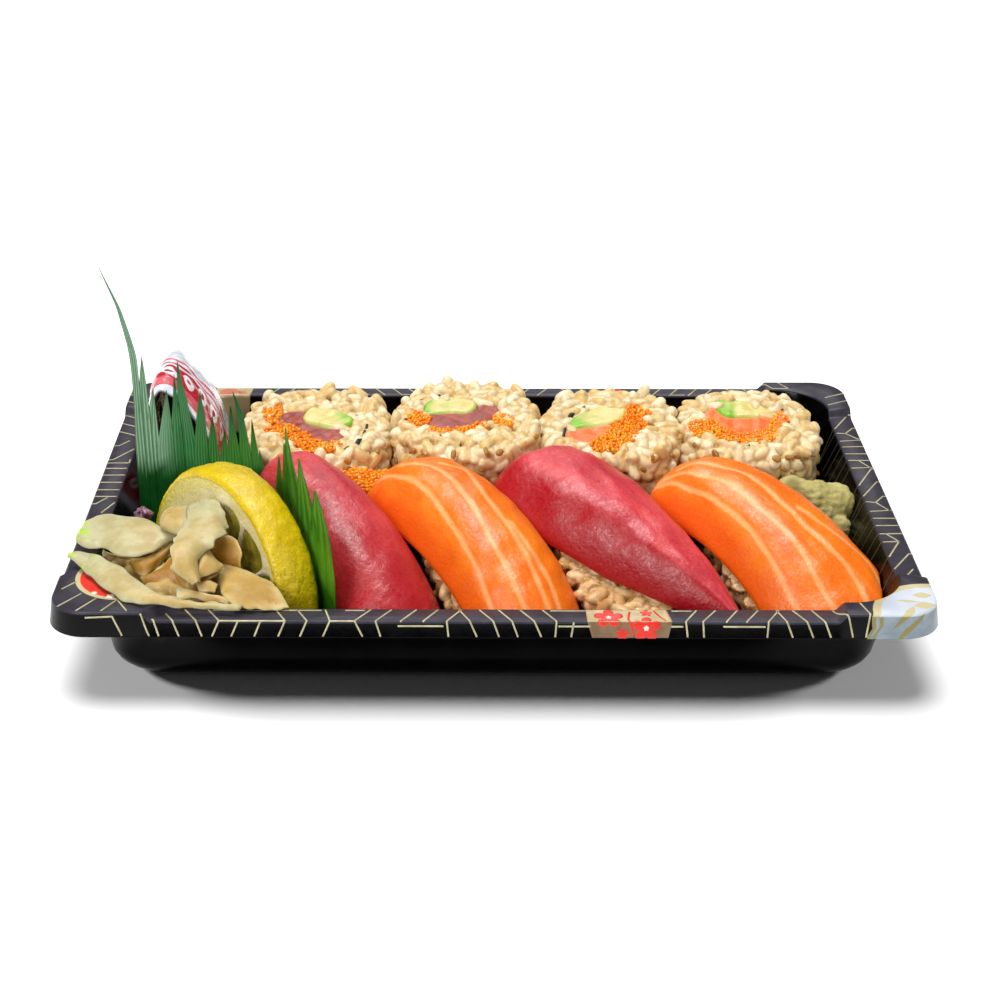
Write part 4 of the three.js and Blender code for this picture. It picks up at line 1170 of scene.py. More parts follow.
@dataclass
class Tray:
    """The formed tray: its sheet, and the printed lines and fields on its rim."""

    half_length: float = 108.0
    half_width: float = 70.0
    mouth_x: float = 100.5              # where the flat of the rim starts
    mouth_y: float = 63.3
    rim_top: float = 22.2
    lip_bottom: float = 18.2
    skirt_lean: float = 1.1
    corner_radius: float = 10.0
    mouth_radius: float = 14.0
    front_left_radius: float = 22.0     # of the mouth, where the ear is wider
    sheet: float = 0.8
    inner_gap: Station = (0.4, 0.3)     # from the mouth to the top of the inner wall, in x and y
    inner_drop: float = 0.6
    ear_rise: float = 2.2               # of the raised corners
    ear_start: tuple[float, float] = (84.5, 51.0)
    ear_bevel: float = 2.6
    base_half: tuple[float, float] = (87.5, 54.3)
    base_radius: float = 10.0
    foot_round: float = 8.0
    corner_steps: int = 18
    line_width: float = 0.42
    line_lift: float = 0.05
    field_foot: float = 0.04            # how far a printed field reaches into the sheet
    petals: int = 5

    def ring(self, half_x: float, half_y: float, radius: float, z: float, raised: float,
             front_left: float = 0.0) -> Array:
        """Makes one ring of the sheet: a rounded rectangle whose corners may stand higher.

        Args:
            half_x: Half its length.
            half_y: Half its width.
            radius: The radius of its corners.
            z: Its height along the sides.
            raised: The share of the corners' rise that it takes.
            front_left: The radius of the front left corner, if it differs.

        Returns:
            The points of the ring.
        """
        points = self.quarter(half_x, half_y, radius, z, raised)
        round_one = self.quarter(half_x, half_y, front_left or radius, z, raised)
        back = points[::-1]
        flip_x, flip_y = np.array([-1, 1, 1]), np.array([1, -1, 1])
        quarters = (points, back * flip_x, round_one * flip_x * flip_y, back * flip_y)
        return np.vstack([each[:-1] for each in quarters])

    def quarter(self, half_x: float, half_y: float, radius: float, z: float, raised: float) -> Array:
        """Makes the back right quarter of a ring, with the same sizes."""
        start_x = min(self.ear_start[0], half_x - radius)
        start_y = min(self.ear_start[1], half_y - radius)
        rise, bevel = self.ear_rise * raised, self.ear_bevel
        slope = [(share, soft_step(np.float64(share), 0, 1)) for share in (0.0, 0.2, 0.4, 0.6, 0.8, 1.0)]
        quarter = [(half_x, 0.0, z)]
        quarter += [(half_x, start_y - bevel * (1 - share), z + rise * high) for share, high in slope]
        for angle in np.linspace(0, math.pi / 2, self.corner_steps + 1):
            corner = (half_x - radius + radius * math.cos(angle), half_y - radius + radius * math.sin(angle))
            quarter.append((*corner, z + rise))
        quarter += [(start_x - bevel * share, half_y, z + rise * (1 - high)) for share, high in slope]
        quarter.append((0.0, half_y, z))
        return np.array(quarter)

    def wall(self, inset: float, mouth: Triple) -> list[Array]:
        """Makes the rings of one side of the sheet, from the foot's rounding up to the mouth."""
        rings = []
        for angle in np.radians([0, 15, 30, 45, 60, 75, 90]):
            reach = (self.foot_round - inset) * math.sin(angle)
            z = self.foot_round - (self.foot_round - inset) * math.cos(angle)
            rings.append(self.ring(self.base_half[0] + reach, self.base_half[1] + reach,
                                   self.base_radius + reach * 0.2, z, 0.0))
        rings.append(self.ring(mouth[0], mouth[1], self.mouth_radius, mouth[2], 1.0, self.front_left_radius))
        return rings

    def rim_steps(self) -> list[Triple]:
        """Gives the rim's section outwards: inset from the lip, height, and share of the corners' rise."""
        return [(1.65, 22.2, 1.0), (1.35, 22.15, 1.0), (1.12, 21.98, 1.0), (0.98, 21.75, 1.0),
                (0.9, 21.45, 1.0), (0.15, 18.6, 0.1), (0.05, 18.35, 0.0), (0.0, 18.2, 0.0)]

    def rim_rings(self, steps: Sequence[Triple]) -> list[Array]:
        """Makes rings of the rim from steps of its section."""
        return [self.ring(self.half_length - inset, self.half_width - inset, self.corner_radius - inset,
                          z, share) for inset, z, share in steps]

    def shell(self) -> Shape:
        """Makes the whole sheet with the marks that its finish reads."""
        sheet = self.sheet
        outside = self.wall(0.0, (self.mouth_x + sheet, self.mouth_y + sheet, self.rim_top - sheet))
        inside = self.wall(sheet, (self.mouth_x - self.inner_gap[0], self.mouth_y - self.inner_gap[1],
                                   self.rim_top - self.inner_drop))
        hidden = self.rim_rings([(self.skirt_lean + sheet, self.rim_top - sheet, 1.0),
                                 (sheet, self.lip_bottom, 0.0)])
        shown = self.rim_rings(self.rim_steps()[::-1])
        mouth = self.ring(self.mouth_x, self.mouth_y, self.mouth_radius, self.rim_top, 1.0,
                          self.front_left_radius)
        rings = np.array([*outside, *hidden, *shown, mouth, *inside[::-1]])
        first_shown = len(outside) + len(hidden)
        mouth_row = first_shown + len(shown)
        marks = {name: np.zeros(rings.shape[:2]) for name in ("rim_top", "printed")}
        marks["printed"][first_shown:mouth_row + 1] = 1.0
        marks["rim_top"][mouth_row - 4:mouth_row + 1] = 1.0
        flat = rings.copy()
        flat[..., 2] = 0.0
        top_edge = mouth_row - 1
        for row in range(top_edge - 1, first_shown - 1, -1):
            step = np.linalg.norm(rings[row] - rings[row + 1], axis=-1, keepdims=True)
            outward = unit(rings[top_edge] - rings[mouth_row]) * np.array([1, 1, 0])
            flat[row] = flat[row + 1] + outward * step
        marks["flat"] = flat
        return Shape.lofted(rings, marks)

    def profile(self, side: Side) -> Array:
        """Gives one side's printed section: distance from the mouth, reach, height, share of the rise."""
        axis = 0 if side in (Side.LEFT, Side.RIGHT) else 1
        half = (self.half_length, self.half_width)[axis]
        mouth = (self.mouth_x, self.mouth_y)[axis]
        foot = self.base_half[axis] + self.foot_round - self.sheet
        rows = [
            (foot, self.foot_round, 0.0),
            (mouth - self.inner_gap[axis], self.rim_top - self.inner_drop, 1.0), (mouth, self.rim_top, 1.0),
        ]
        rows += [(half - inset, z, share) for inset, z, share in self.rim_steps()]
        table = np.array(rows)
        steps = np.linalg.norm(np.diff(table[:, :2], axis=0), axis=1)
        distance = np.concatenate([[0.0], np.cumsum(steps)])
        return np.column_stack([distance - distance[2], table])

    def on_rim(self, side: Side, along: Array, across: Array) -> Array:
        """Finds points on the sheet's printed face.

        Args:
            side: The side of the tray.
            along: Places along the side, as x or y.
            across: Distances over the sheet from the mouth, outwards.

        Returns:
            The points.
        """
        table = self.profile(side)
        reach = np.interp(across, table[:, 0], table[:, 1])
        z = np.interp(across, table[:, 0], table[:, 2])
        share = np.interp(across, table[:, 0], table[:, 3])
        start = self.ear_start[1 if side in (Side.LEFT, Side.RIGHT) else 0]
        ear = soft_step(np.abs(along), start - self.ear_bevel, start)
        z = z + self.ear_rise * ear * share
        dx, dy = side.value
        x = reach * dx if dx else along
        y = reach * dy if dy else along
        return np.stack(np.broadcast_arrays(x, y, z), axis=-1)

    def skirt_width(self, side: Side) -> tuple[float, float]:
        """Gives the distances from the mouth to the rim's top edge and to the lip."""
        table = self.profile(side)
        return float(table[5, 0]), float(table[-1, 0])

    def line(self, side: Side, corners: Sequence[Station], width: float = 0.0) -> Shape:
        """Makes one printed line, a thin strip that follows the sheet.

        Args:
            side: The side of the tray.
            corners: The line's corners, each a place along and a distance across.
            width: Its width, or 0 for the usual one.

        Returns:
            The strip.
        """
        places = []
        for (a, p), (b, q) in zip(corners[:-1], corners[1:]):
            count = max(2, int(abs(b - a) + abs(q - p)) * 3)
            places += [(a + (b - a) * k / count, p + (q - p) * k / count) for k in range(count)]
        places.append(corners[-1])
        table = np.array(places)
        middle = self.on_rim(side, table[:, 0], table[:, 1])
        nudge = 0.02
        tangent = unit(np.gradient(middle, axis=0))
        cross = np.array([self.on_rim(side, table[:, 0] + nudge, table[:, 1]) - middle,
                          self.on_rim(side, table[:, 0], table[:, 1] + nudge) - middle])
        normal = unit(np.cross(cross[0], cross[1]))
        facing = np.array([*side.value, 1.0])
        normal *= np.sign(normal @ facing)[:, None]
        sideways = unit(np.cross(normal, tangent)) * (width or self.line_width) / 2
        lift = normal * self.line_lift
        return Shape.ribbon(middle, sideways, lift)

    def patch(self, side: Side, edges: Sequence[Triple], lift: float) -> Shape:
        """Makes a printed field between two edges that run over the sheet.

        Args:
            side: The side of the tray.
            edges: Rows of distance across, and where the field starts and ends along the side.
            lift: How far it stands above the sheet.

        Returns:
            The thin field.
        """
        table = np.array(edges)
        spread = np.linspace(table[0, 0], table[-1, 0], 30)
        across = np.unique(np.concatenate([spread, self.profile(side)[:, 0]]))
        across = across[(across >= table[0, 0]) & (across <= table[-1, 0])]
        start = np.interp(across, table[:, 0], table[:, 1])
        end = np.interp(across, table[:, 0], table[:, 2])
        share = np.linspace(0, 1, 40)
        along = start[:, None] + (end - start)[:, None] * share
        points = self.on_rim(side, along, np.broadcast_to(across[:, None], along.shape))
        facing = unit(np.array([*side.value, 1.0]))
        return Shape.sheet(points + facing * lift, points - facing * self.field_foot)

    def blossom(self, side: Side, centre: Station, reach: float, lift: float) -> Shape:
        """Makes a printed blossom of round petals on the sheet."""
        turns = np.linspace(0, 2 * math.pi, 80, endpoint=False)
        notch = np.abs(np.cos(self.petals * (turns + 0.3) / 2)) ** 0.55
        radius = reach * (0.42 + 0.58 * notch)
        shares = np.linspace(0.02, 1, 7)
        along = centre[0] + shares[:, None] * radius * np.cos(turns)
        across = centre[1] + shares[:, None] * radius * np.sin(turns)
        points = self.on_rim(side, along, across)
        facing = unit(np.array([*side.value, 1.0]))
        foot = points[-1:] - facing * self.field_foot
        return Shape.lofted(np.concatenate([points + facing * lift, foot]))

    def front_lines(self) -> list[Shape]:
        """Makes the pale lines on the front side: over the flat, over the edge and down the skirt."""
        edge, lip = self.skirt_width(Side.FRONT)
        strokes = (
            (-85.3, -81.3, -80.1), (-80.1, -76.8, -75.3), (-74.5, -71.2, -69.8), (-68.9, -65.7, -67.4),
            (-52.6, -49.9, -51.6), (-47.4, -44.7, -46.4), (-40.6, -39.2, -40.9), (-29.6, -33.3, -31.4),
            (-24.6, -28.3, -27.1), (-7.8, -11.3, -10.9), (-8.4, -5.8, -4.1), (-3.5, -0.2, 1.2),
            (1.1, 4.3, 5.7), (6.3, 9.6, 11.3), (11.7, 14.9, 14.6), (48.8, 45.7, 46.2), (53.4, 49.8, 50.1),
            (68.6, 65.4, 65.2), (68.0, 69.8, 71.3), (71.9, 74.6, 76.2), (76.5, 78.9, 80.4),
            (81.5, 84.0, 85.6), (87.9, 89.4, 88.7),
        )
        shapes = [self.line(Side.FRONT, [(a, 0.2), (b, edge - 0.2), (c, lip - 0.3)]) for a, b, c in strokes]
        top_only = ((-18.6, -22.4), (-13.4, -17.0), (58.6, 55.3), (63.6, 60.1))
        shapes += [self.line(Side.FRONT, [(a, 0.2), (b, edge)]) for a, b in top_only]
        skirt_only = ((-84.3, -82.4), (-61.2, -62.8), (-55.8, -57.3), (19.0, 18.4))
        shapes.append(self.line(Side.FRONT, [(-97.5, edge + 0.9), (-91.0, edge + 0.7), (-88.9, lip - 0.3)]))
        shapes += [self.line(Side.FRONT, [(a, edge), (b, lip - 0.3)]) for a, b in skirt_only]
        inner, outer, low = 0.6, edge - 0.2, edge + 1.0
        lengthwise = (
            (-67.7, -41.4, inner), (-35.8, -31.0, inner), (13.5, 22.1, inner), (42.7, 47.6, inner),
            (-65.7, -49.9, outer), (-39.2, -33.3, outer), (-23.0, -12.1, low), (15.3, 23.0, low),
            (42.2, 45.1, low), (54.6, 64.7, low),
        )
        shapes += [self.line(Side.FRONT, [(a, at), (b, at)]) for a, b, at in lengthwise]
        return shapes

    def right_lines(self) -> tuple[list[Shape], list[Shape]]:
        """Makes the lines on the right side, and the dim ones that go on down the inner wall."""
        edge, lip = self.skirt_width(Side.RIGHT)
        strokes = (
            (99.1, 39.9, 105.9, 49), (99.2, 37, 103.2, 36.8), (103.2, 36.8, 105.9, 40.4),
            (103.2, 36.8, 106, 33.2), (99.1, 31.6, 105.9, 32.3), (99.3, 27.8, 105.9, 28.1),
            (99.4, 23.3, 105.9, 23.4), (99.5, 19.1, 105.7, 19.1), (103.7, 18.8, 105.9, 14.7),
            (99.8, 14.2, 105.9, 14.6), (99.1, 3.4, 106.1, 13.8), (99.9, -3, 106, 5.7),
            (99.5, -6.2, 103.3, -6.6), (103.3, -6.6, 105.9, -3), (103.3, -6.6, 105.9, -11.2),
            (99.3, -11.8, 105.9, -11.2), (99.1, -15.7, 105.8, -15.7), (99.3, -19.8, 105.9, -19.7),
            (99.2, -24.4, 106, -24.2), (102.4, -24.4, 104.9, -28.5), (99.1, -28.8, 104.9, -28.5),
            (99.1, -36.7, 104.9, -28.5), (99.3, -43, 106, -35.1), (101.9, -48.1, 105.4, -43),
            (99.9, -49.2, 106.1, -50.3),
        )
        bright, dim = [], []
        for x1, y1, x2, y2 in strokes:
            corners = [(y1, max(x1 - self.mouth_x, 0.2)), (y2, x2 - self.mouth_x)]
            if x2 > 105.5:
                corners = [*corners, (y2, edge), (y2 + (y2 - y1) * 0.2, lip - 0.3)]
            bright.append(self.line(Side.RIGHT, corners))
            if x1 < 100:
                dim.append(self.line(Side.RIGHT, [(y1, -0.2), (y1 - (y2 - y1) * 0.25, -10.5)]))
        return bright, dim

    def left_lines(self) -> list[Shape]:
        """Makes the lines on the left side."""
        edge, lip = self.skirt_width(Side.LEFT)
        strokes = (
            (-105.3, 27.7, -102.8, 31.1), (-105.5, 18.6, -100.1, 25.6), (-105.3, 16.5, -100.7, 16.6),
            (-100.7, 16.6, -99, 18.8), (-105.6, 13.1, -99.2, 13.2), (-105.6, 8.9, -99.3, 9),
            (-105.4, 4.5, -99.1, 4.5), (-105.5, 0, -99.2, 0), (-105.6, -4, -99.3, -4),
            (-105.6, -8.3, -103.1, -4.6), (-103.3, -13.5, -99, -7.5),
        )
        shapes = []
        for x1, y1, x2, y2 in strokes:
            corners = [(y2, max(-x2 - self.mouth_x, 0.2)), (y1, -x1 - self.mouth_x)]
            if x1 < -105.1:
                corners = [*corners, (y1, edge), (y1 + (y1 - y2) * 0.2, lip - 0.3)]
            shapes.append(self.line(Side.LEFT, corners))
        return shapes

    def ruled_lines(self, side: Side, start: float, end: float, seed: int) -> list[Shape]:
        """Makes lines across a stretch of the rim that slant first one way and then the other.

        Args:
            side: The side of the tray.
            start: Where the stretch starts.
            end: Where it ends.
            seed: The seed of their small unevenness.

        Returns:
            The lines.
        """
        random = np.random.default_rng(seed)
        edge, lip = self.skirt_width(side)
        shapes = []
        place, slant, left = start, 3.2, 5
        while place < end:
            top, low = place + slant, place + slant * 1.4
            shapes.append(self.line(side, [(place, 0.2), (top, edge - 0.2), (low, lip - 0.3)]))
            if left == 3:
                shapes.append(self.line(side, [(place, 0.6), (place + 4.8, 0.6)]))
            if left == 1:
                shapes.append(self.line(side, [(top, edge - 0.2), (top + 5.0, edge - 0.2)]))
            left -= 1
            if left == 0:
                left, slant = 5, -slant
                place += 5.0
            place += 4.6 + random.uniform(0, 1.2)
        return shapes

    def ear_lines(self) -> list[Shape]:
        """Makes the fan of lines round the red field on the front left corner."""
        z = self.rim_top + self.ear_rise
        strokes = (
            (-105.1, -57.8, -102.2, -54.1), (-104.6, -66.1, -99.8, -59.7), (-99.8, -68.1, -95.9, -62.1),
            (-93.8, -68.1, -90.9, -63), (-90.6, -63, -87.6, -68.1),
        )
        shapes = []
        for x1, y1, x2, y2 in strokes:
            start, end = np.array([x1, y1, z]), np.array([x2, y2, z])
            sideways = unit(np.cross(end - start, [0, 0, 1.0])) * self.line_width / 2
            lift = np.array([0, 0, self.line_lift])
            middle = np.linspace(start, end, 6)
            shapes.append(Shape.ribbon(middle, sideways, lift))
        return shapes

    def flat_blossom(self, x: float, y: float, reach: float) -> Shape:
        """Makes a small printed blossom on a raised corner."""
        z = self.rim_top + self.ear_rise
        turns = np.linspace(0, 2 * math.pi, 60, endpoint=False)
        radius = reach * (0.4 + 0.6 * np.abs(np.cos(self.petals * turns / 2)) ** 0.6)
        rings = [np.stack([x + k * radius * np.cos(turns), y + k * radius * np.sin(turns),
                           np.full(len(turns), z + self.line_lift)], axis=-1) for k in (0.05, 0.5, 1.0)]
        rings.append(rings[-1] - np.array([0, 0, 0.08]))
        return Shape.lofted(np.array(rings))

    def build_lines(self) -> None:
        """Builds the gold lines on the rim and the dim ones on the inner wall."""
        bright, dim = self.right_lines()
        lines = [*self.front_lines(), *bright, *self.left_lines(), *self.ear_lines()]
        lines += self.ruled_lines(Side.BACK, -66.0, 34.0, 3) + self.ruled_lines(Side.BACK, 44.0, 92.0, 4)
        lines += self.ruled_lines(Side.LEFT, 34.0, 58.0, 5) + self.ruled_lines(Side.RIGHT, 52.0, 60.0, 6)
        Shape.joined(lines).piece("tray_gold_lines", PALE_GOLD, "tray_plastic")
        Shape.joined(dim).piece("tray_wall_lines", DIM_GOLD, "tray_plastic")

    def build_fields(self) -> None:
        """Builds the printed fields, with a darker copy on the skirt as painted shade."""
        edge, lip = self.skirt_width(Side.FRONT)
        fields = [
            self.patch(Side.FRONT, [(0.1, 22.1, 41.5), (edge - 0.2, 22.2, 42.5)], 0.03),
            self.patch(Side.BACK, [(-12.0, -86.5, -72.5), (-0.4, -86.5, -71.5), (0.0, -97.0, -71.5),
                                   (lip - 0.2, -96.0, -70.5)], 0.03),
        ]
        Shape.joined(fields).piece("tray_gold_fields", GOLD_FIELD, "tray_plastic")
        low = self.patch(Side.FRONT, [(edge - 0.2, 22.2, 42.5), (lip - 0.2, 23.4, 41.6)], 0.03)
        low.piece("tray_gold_skirt", GOLD_SHADE, "tray_plastic")

    def build_motifs(self) -> None:
        """Builds the printed blossoms and their stalks."""
        _, lip = self.skirt_width(Side.FRONT)
        reds = [
            self.blossom(Side.FRONT, (27.4, 3.6), 3.6, 0.07),
            self.blossom(Side.FRONT, (36.3, 7.1), 3.5, 0.07),
            self.blossom(Side.FRONT, (30.6, 8.6), 1.6, 0.07),
            self.blossom(Side.FRONT, (36.5, 1.6), 1.5, 0.07),
            self.line(Side.FRONT, [(32.6, 1.0), (32.0, 4.5), (33.4, lip - 0.5)], 0.5),
            self.line(Side.FRONT, [(38.4, 0.6), (39.8, 3.6), (41.0, 5.2)], 0.45),
            self.blossom(Side.BACK, (39.0, 3.2), 2.6, 0.05),
        ]
        red = Shape.joined(reds)
        red.points[:, 1] = np.maximum(red.points[:, 1], -self.half_width)
        red.piece("tray_red_motifs", BRIGHT_RED, "tray_plastic")
        coral = [
            self.patch(Side.BACK, [(0.4, -81.6, -78.2), (2.0, -80.4, -74.6), (3.2, -81.3, -75.4),
                                   (4.6, -79.4, -76.6)], 0.06),
            self.blossom(Side.BACK, (-74.2, 1.6), 1.3, 0.06),
        ]
        Shape.joined(coral).piece("tray_coral_motif", CORAL, "tray_plastic")
        pale = [
            self.flat_blossom(-92.6, -61.0, 1.1),
            self.flat_blossom(-88.2, -60.9, 0.9),
            self.flat_blossom(-96.8, -59.6, 0.8),
            self.blossom(Side.FRONT, (27.4, 3.6), 0.7, 0.1),
            self.blossom(Side.FRONT, (36.3, 7.1), 0.7, 0.1),
        ]
        Shape.joined(pale).piece("tray_pale_motifs", PALE_FIELD, "tray_plastic")

    def build(self) -> None:
        """Builds the sheet and all that is printed on it."""
        self.shell().piece("tray_sheet", TRAY_PLASTIC, "tray_plastic", "tray")
        self.build_lines()
        self.build_fields()
        self.build_motifs()


def inside_tray(points: Array, gap: float) -> Array:
    """Moves points that would stand in the tray's walls or floor inwards.

    Args:
        points: The points, in rows.
        gap: How far from the sheet they stay.

    Returns:
        The moved points.
    """
    tray = Tray()
    moved = points.copy()
    moved[..., 2] = np.maximum(moved[..., 2], tray.sheet + gap)
    round_foot = tray.foot_round - tray.sheet
    below = np.clip((tray.foot_round - moved[..., 2]) / round_foot, 0, 1)
    reach = round_foot * np.sqrt(1 - below ** 2)
    wall_height = tray.rim_top - tray.inner_drop - tray.foot_round
    up = np.clip((moved[..., 2] - tray.foot_round) / wall_height, 0, 1)
    inside = moved[..., 2] < tray.rim_top + 0.5
    front_left = (moved[..., 0] < 0) & (moved[..., 1] < 0)
    radius = np.where(front_left, tray.front_left_radius, tray.mouth_radius)
    past = []
    for axis, mouth in enumerate((tray.mouth_x - tray.inner_gap[0], tray.mouth_y - tray.inner_gap[1])):
        wall = tray.base_half[axis] + reach
        limit = wall + (mouth - tray.base_half[axis] - round_foot) * up - gap
        moved[..., axis] = np.where(inside, np.clip(moved[..., axis], -limit, limit), moved[..., axis])
        past.append(np.abs(moved[..., axis]) - (limit - radius))
    away = np.hypot(past[0], past[1])
    round_corner = inside & (past[0] > 0) & (past[1] > 0) & (away > radius)
    for axis in (0, 1):
        pulled = past[axis] * (1 - radius / np.maximum(away, 0.01)) * np.sign(moved[..., axis])
        moved[..., axis] = np.where(round_corner, moved[..., axis] - pulled, moved[..., axis])
    return moved


# ---------------------------------------------------------------- grains
@dataclass
class Grains:
    """Loose grains of one size that cover a surface."""

    length: float
    width: float
    height: float
    around: int = 7
    rings: int = 6
    unruly: float = 0.35                # how far they tip out of the surface

    def laid(self, centres: Array, outward: Array, seed: int, marks: Marks | None = None) -> Shape:
        """Lays one grain at each centre, flat on the surface and turned at random.

        Args:
            centres: The middles of the grains.
            outward: The direction out of the surface at each.
            seed: The seed of their turns and sizes.
            marks: Values for each grain, by name; tone is added if it is missing.

        Returns:
            All grains in one shape.
        """
        random = np.random.default_rng(seed)
        count = len(centres)
        pattern = ball(self.rings, self.around)
        girth = np.linalg.norm(pattern.points[:, 1:], axis=1, keepdims=True)
        pattern.points[:, 1:] *= np.maximum(girth, 0.05) ** -0.28
        pattern.points[:, 2] += 0.1 * pattern.points[:, 0] ** 2
        normal = unit(outward + self.unruly * random.normal(size=(count, 3)))
        along = unit(np.cross(normal, random.normal(size=(count, 3))))
        across = np.cross(normal, along)
        scale = random.uniform(0.86, 1.14, size=(count, 3, 1))
        halves = np.array([self.length, self.width, self.height])[None, :, None] / 2
        frames = np.stack([along, across, normal], axis=1) * halves * scale
        values = dict(marks or {})
        values.setdefault("tone", random.uniform(0, 1, count))
        return copies(pattern, centres, frames, values)


def melted(heart: Shape, grains: Shape, tones: Array, voxel: float) -> Shape:
    """Melts grains and the heart under them into one skin that keeps the grains' tones.

    Args:
        heart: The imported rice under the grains.
        grains: The grains, one after another.
        tones: Their tones.
        voxel: How fine the skin is.

    Returns:
        The skin, with the marks tone and crease.
    """
    skin = Shape.joined([Shape(heart.points, heart.faces), Shape(grains.points, grains.faces)])
    points, normals, faces = grown(skin, voxel, 2)
    count = len(tones)
    spread = grains.points.reshape(count, -1, 3)
    middles = spread.mean(1, keepdims=True)
    far = np.argmax(np.linalg.norm(spread - middles, axis=2), axis=1)
    reach = (spread[np.arange(count), far] - middles[:, 0]) * 0.6
    tree = KDTree(3 * count)
    for i, (middle, step) in enumerate(zip(middles[:, 0], reach)):
        for place in (middle - step, middle, middle + step):
            tree.insert(Vector(place), i)
    tree.balance()
    owner = np.zeros(len(points), int)
    margin = np.zeros(len(points))
    for i, point in enumerate(points):
        found = tree.find_n(Vector(point), 5)
        owner[i] = found[0][1]
        margin[i] = next((hit[2] for hit in found if hit[1] != found[0][1]), 9.0) - found[0][2]
    # crease: nearness to where grains meet; it sinks the skin there, and the rice finish paints shade by it
    crease = 1 - soft_step(margin, 0.0, 0.75)
    points = points - normals * (0.2 * crease ** 2)[:, None]
    points[:, 2] = np.maximum(points[:, 2], FLOOR)
    return Shape(points, faces, {"tone": tones[owner], "crease": crease})


def eggs(centres: Array, radii: Station, around: int, random: np.random.Generator) -> Shape:
    """Lays one fish egg at each centre.

    Args:
        centres: The middles of the eggs.
        radii: The least and the greatest radius.
        around: How many corners an egg has round its middle.
        random: Where their sizes and tones are drawn from.

    Returns:
        All eggs in one shape.
    """
    sizes = random.uniform(*radii, len(centres))
    tones = random.uniform(0, 0.7, len(centres))
    return copies(ball(4, around), centres, np.eye(3)[None] * sizes[:, None, None], {"shade": tones})


ROLL_GRAIN = Grains(6.3, 3.9, 3.3, 8, 6)
NIGIRI_GRAIN = Grains(6.6, 3.8, 3.2, 9, 7)
SEED_GRAIN = Grains(2.7, 1.7, 0.8, 6, 4)


class Food(Enum):
    """What a slice or a filling is, by the name of its material slot."""

    TUNA = "tuna"
    SALMON = "salmon"
    AVOCADO = "avocado"
    ROE = "roe"


